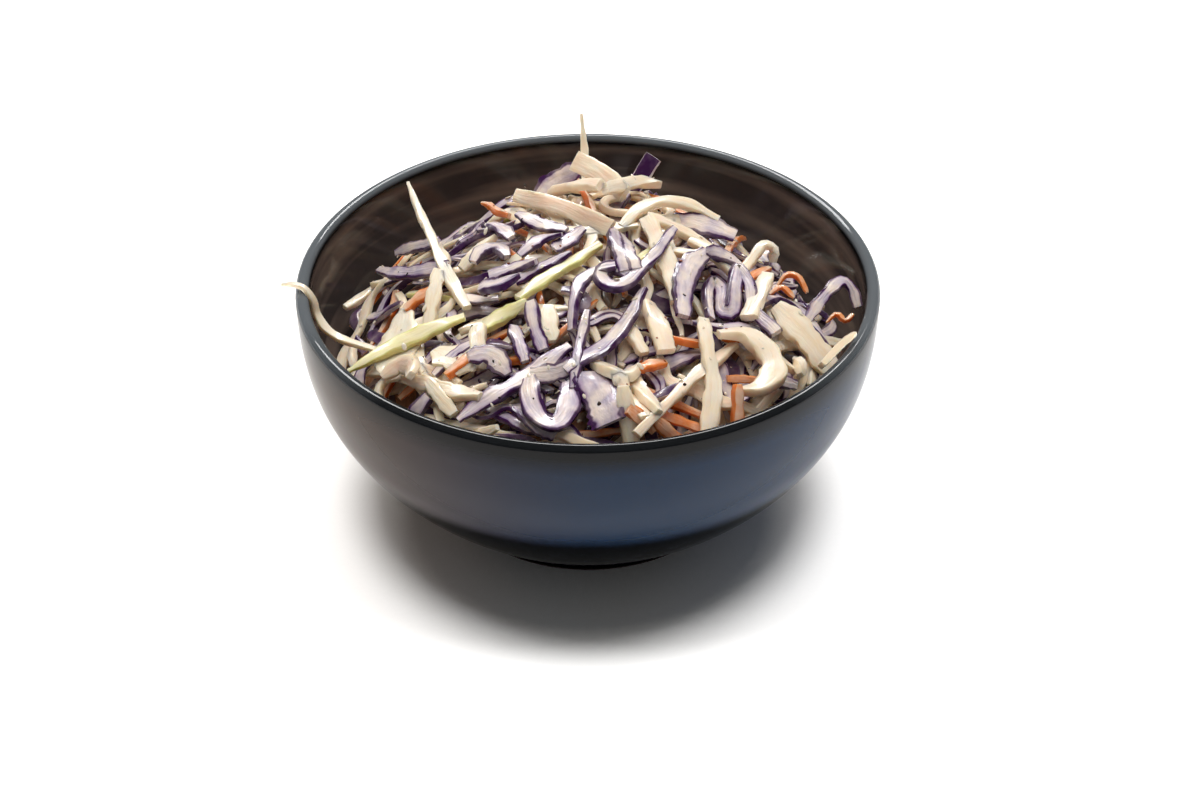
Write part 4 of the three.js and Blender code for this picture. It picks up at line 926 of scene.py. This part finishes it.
def lumps(count, size, flatness, uneven, sink):
    """Copies of a small ball: scaled by size, flattened, made uneven, and sunk into the map's surface."""
    polar = np.linspace(POLE, math.pi - POLE, LUMP_ROWS)
    around = TURN * np.arange(LUMP_COLUMNS) / LUMP_COLUMNS
    ball = np.dstack([np.outer(np.sin(polar), np.cos(around)), np.outer(np.sin(polar), np.sin(around)),
                      np.outer(np.cos(polar), np.ones(LUMP_COLUMNS))]).reshape(-1, 3)
    radius = LUMP_REACH * np.sqrt(rng.random(count))
    angle = rng.uniform(0, TURN, count)
    x, y = radius * np.cos(angle), radius * np.sin(angle)
    scale = size[0] + (size[1] - size[0]) * rng.random(count) ** MOSTLY_SMALL
    stretch = np.c_[rng.uniform(*LONGER, count), rng.uniform(*WIDER, count), np.full(count, flatness)]
    dented = 1 + uneven * rng.normal(size=(count, len(ball), 1))
    body = ball[None] * dented * (scale[:, None] * stretch)[:, None, :]
    spin = rng.uniform(0, TURN, count)[:, None]
    bx = body[..., 0] * np.cos(spin) - body[..., 1] * np.sin(spin)
    by = body[..., 0] * np.sin(spin) + body[..., 1] * np.cos(spin)
    i, j = cell_of(x), cell_of(y)
    next_to = ((cell_of(x + 1), j), (cell_of(x - 1), j)), ((i, cell_of(y + 1)), (i, cell_of(y - 1)))
    slope_x, slope_y = (np.clip((ground[ahead] - ground[behind]) / 2, -STEEPEST, STEEPEST)[:, None]
                        for ahead, behind in next_to)
    height = (ground[i, j] - sink * scale)[:, None] + body[..., 2] + bx * slope_x + by * slope_y
    points = np.dstack([x[:, None] + bx, y[:, None] + by, height])
    first = (np.arange(count) * LUMP_ROWS * LUMP_COLUMNS)[:, None, None]
    return points.reshape(-1, 3), (tube_quads(LUMP_ROWS, LUMP_COLUMNS)[None, :, ::-1] + first).reshape(-1, 4)


def plain_wet(name, colours, grain, roughness, subsurface):
    """Two colours mixed by noise of a grain in mm, with a wet gloss; subsurface softens what is creamy."""
    material, add, place = new_material(name)
    noise = add("TexNoise", {"Vector": place, "Scale": every(grain), "Detail": 2.0})
    colour = add("Mix", {0: noise, 6: linear(colours[0]), 7: linear(colours[1])}, data_type="RGBA")
    shader = add("BsdfPrincipled", {
        "Base Color": colour, "Roughness": roughness, "IOR": 1.46, "Subsurface Weight": subsurface,
        "Subsurface Radius": SOAK_BY_COLOUR, "Subsurface Scale": 1.2 * MM, "Coat Weight": 0.4,
        "Coat Roughness": 0.08})
    add("OutputMaterial", {"Surface": shader})
    return material


TOPPINGS = {
    # piece: (how many, sizes in mm, flatness, unevenness, how far sunk), material with its grain in mm
    "dressing_drops": ((420, (0.2, 0.75), 0.4, 0.03, 0.1),
                       plain_wet("egg_and_cream_dressing", ("#f4ead9", "#e9d8bf"), 3.333, 0.16, 0.3)),
    "ground_pepper": ((80, (0.2, 0.45), 0.8, 0.15, 0.0),
                      plain_wet("ground_black_pepper", ("#1c1512", "#3d2c22"), 1.111, 0.5, 0.0)),
    "paprika_flakes": ((60, (0.22, 0.5), 0.4, 0.12, 0.0),
                       plain_wet("paprika_flakes", ("#8f3d1c", "#b0632c"), 1.111, 0.4, 0.0)),
}
for name, (settings, material) in TOPPINGS.items():
    piece = make_piece(name, *lumps(*settings), material)
    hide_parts("coleslaw")
    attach(piece, "root")

# %% [markdown]
# ## Paper floor
# The bowl stands on a wide sheet of white paper. Paper scatters light and has no gloss, so its shader has
# no specular part and only the faintest grain. The sheet is far wider than the view, so no edge shows.

# %% Floor
FLOOR_HALF = 3000.0
PAPER_GRAIN = 1.111  # mm; paper's fibres are too fine to show, so the grain is drawn coarser


def white_paper():
    """White diffuse paper with a faint grain."""
    material, add, place = new_material("white_paper_sweep")
    grain = add("TexNoise", {"Vector": place, "Scale": every(PAPER_GRAIN), "Detail": 2.0})
    colour = add("Mix", {0: grain, 6: linear("#f6f6f6"), 7: linear("#fafafa")}, data_type="RGBA")
    shader = add("BsdfPrincipled", {"Base Color": colour, "Roughness": 0.9, "Specular IOR Level": 0.0})
    add("OutputMaterial", {"Surface": shader})
    return material


floor = make_piece("floor", np.array([[-1, -1, 0], [1, -1, 0], [1, 1, 0], [-1, 1, 0]]) * FLOOR_HALF,
                   np.array([[0, 1, 2, 3]]), white_paper())

# %% [markdown]
# ## Light
# The room is bright and white, but one kind of lamp can't suit dull slaw, black gloss and white paper at
# once. So each lamp has one job. A very large soft sun overhead gives the heap its form and is kept out of
# gloss. A window behind shows only in gloss, as glints on wet shreds and a line of light on the lip. Two
# suns reach only the paper, by light linking, so that it is white and the bowl's shadow stays close. A dim
# warm wash from the left and a cool one from the right lie on the bowl's sides, and a low white world fills
# the shade.

# %% Lamps
ROOM_FILL, SOFTBOX, WINDOW, PAPER, WASH = 0.155, 3.3, 14.0, 1.8, 0.05  # strengths
LAMP_WHITE, WARM, COOL, DAYLIGHT = "#fffaf3", "#ffb878", "#8ab8ff", "#ffffff"


def aim(holder, direction):
    """Turns a lamp so that it shines from a direction, given as a vector from the bowl to the lamp."""
    x, y, z = direction
    holder.rotation_euler = (math.atan2(math.hypot(x, y), z), 0, math.atan2(x, -y))


def add_lamp(name, kind, place, strength, colour, seen_in="both", direction=None, **settings):
    """A lamp of a kind at a place in mm, its strength in W, or in W per square metre for a sun. It faces the
    bowl unless it is given a direction. It is hidden from the camera, and from gloss or from dull surfaces if
    it is seen in the other only."""
    lamp = bpy.data.lights.new(name, kind)
    lamp.energy = strength
    lamp.color = linear(colour)[:3]
    for key, value in settings.items():
        setattr(lamp, key, value)
    holder = bpy.data.objects.new(name, lamp)
    holder.location = np.array(place) * MM
    aim(holder, direction or place)
    holder.visible_camera = False
    holder.visible_glossy = seen_in != "dull"
    holder.visible_diffuse = seen_in != "gloss"
    scene.collection.objects.link(holder)
    return holder


world = bpy.data.worlds.new("soft_white_room")
world.use_nodes = True
world.node_tree.nodes["Background"].inputs["Color"].default_value = linear(DAYLIGHT)
world.node_tree.nodes["Background"].inputs["Strength"].default_value = ROOM_FILL
scene.world = world

add_lamp("overhead_softbox", "SUN", (0, 300, 1000), SOFTBOX, LAMP_WHITE, "dull", angle=math.radians(66))
add_lamp("window", "AREA", (-80, 600, 700), WINDOW, DAYLIGHT, "gloss", shape="RECTANGLE", size=0.8,
         size_y=0.22)
paper_only = bpy.data.collections.new("paper_only")
paper_only.objects.link(floor)
for side, x in (("left", -240), ("right", 240)):
    paper_light = add_lamp(f"paper_light_{side}", "SUN", (x, 0, 1000), PAPER, DAYLIGHT, "dull",
                           angle=math.radians(17))
    paper_light.light_linking.receiver_collection = paper_only
add_lamp("warm_wash", "AREA", (-155, -50, 110), WASH, WARM, direction=(0.6, 0, 0.8), size=0.08)
add_lamp("cool_wash", "AREA", (155, -60, 110), WASH, COOL, direction=(-0.6, 0, 0.8), size=0.08)

# %% [markdown]
# ## Camera
# A short telephoto lens some 70 cm away looks down at 35 degrees: high enough to see into the bowl, low
# enough to see its side. From nearer the bowl would look swollen. The Standard view leaves white paper
# white.

# %% Camera
LENS_MM, SENSOR_MM = 85.0, 36.0
CAMERA_PLACE = (2.9, -571.9, 429.5)
CAMERA_PITCH = 35.21  # degrees below level
camera_data = bpy.data.cameras.new("camera")
camera_data.lens = LENS_MM
camera_data.sensor_width = SENSOR_MM
camera = bpy.data.objects.new("camera", camera_data)
camera.location = np.array(CAMERA_PLACE) * MM
camera.rotation_euler = (math.radians(90 - CAMERA_PITCH), 0, 0)
scene.collection.objects.link(camera)
scene.camera = camera
scene.view_settings.view_transform = "Standard"
print("camera to the foot's middle, in mm:", round(math.hypot(*CAMERA_PLACE)))
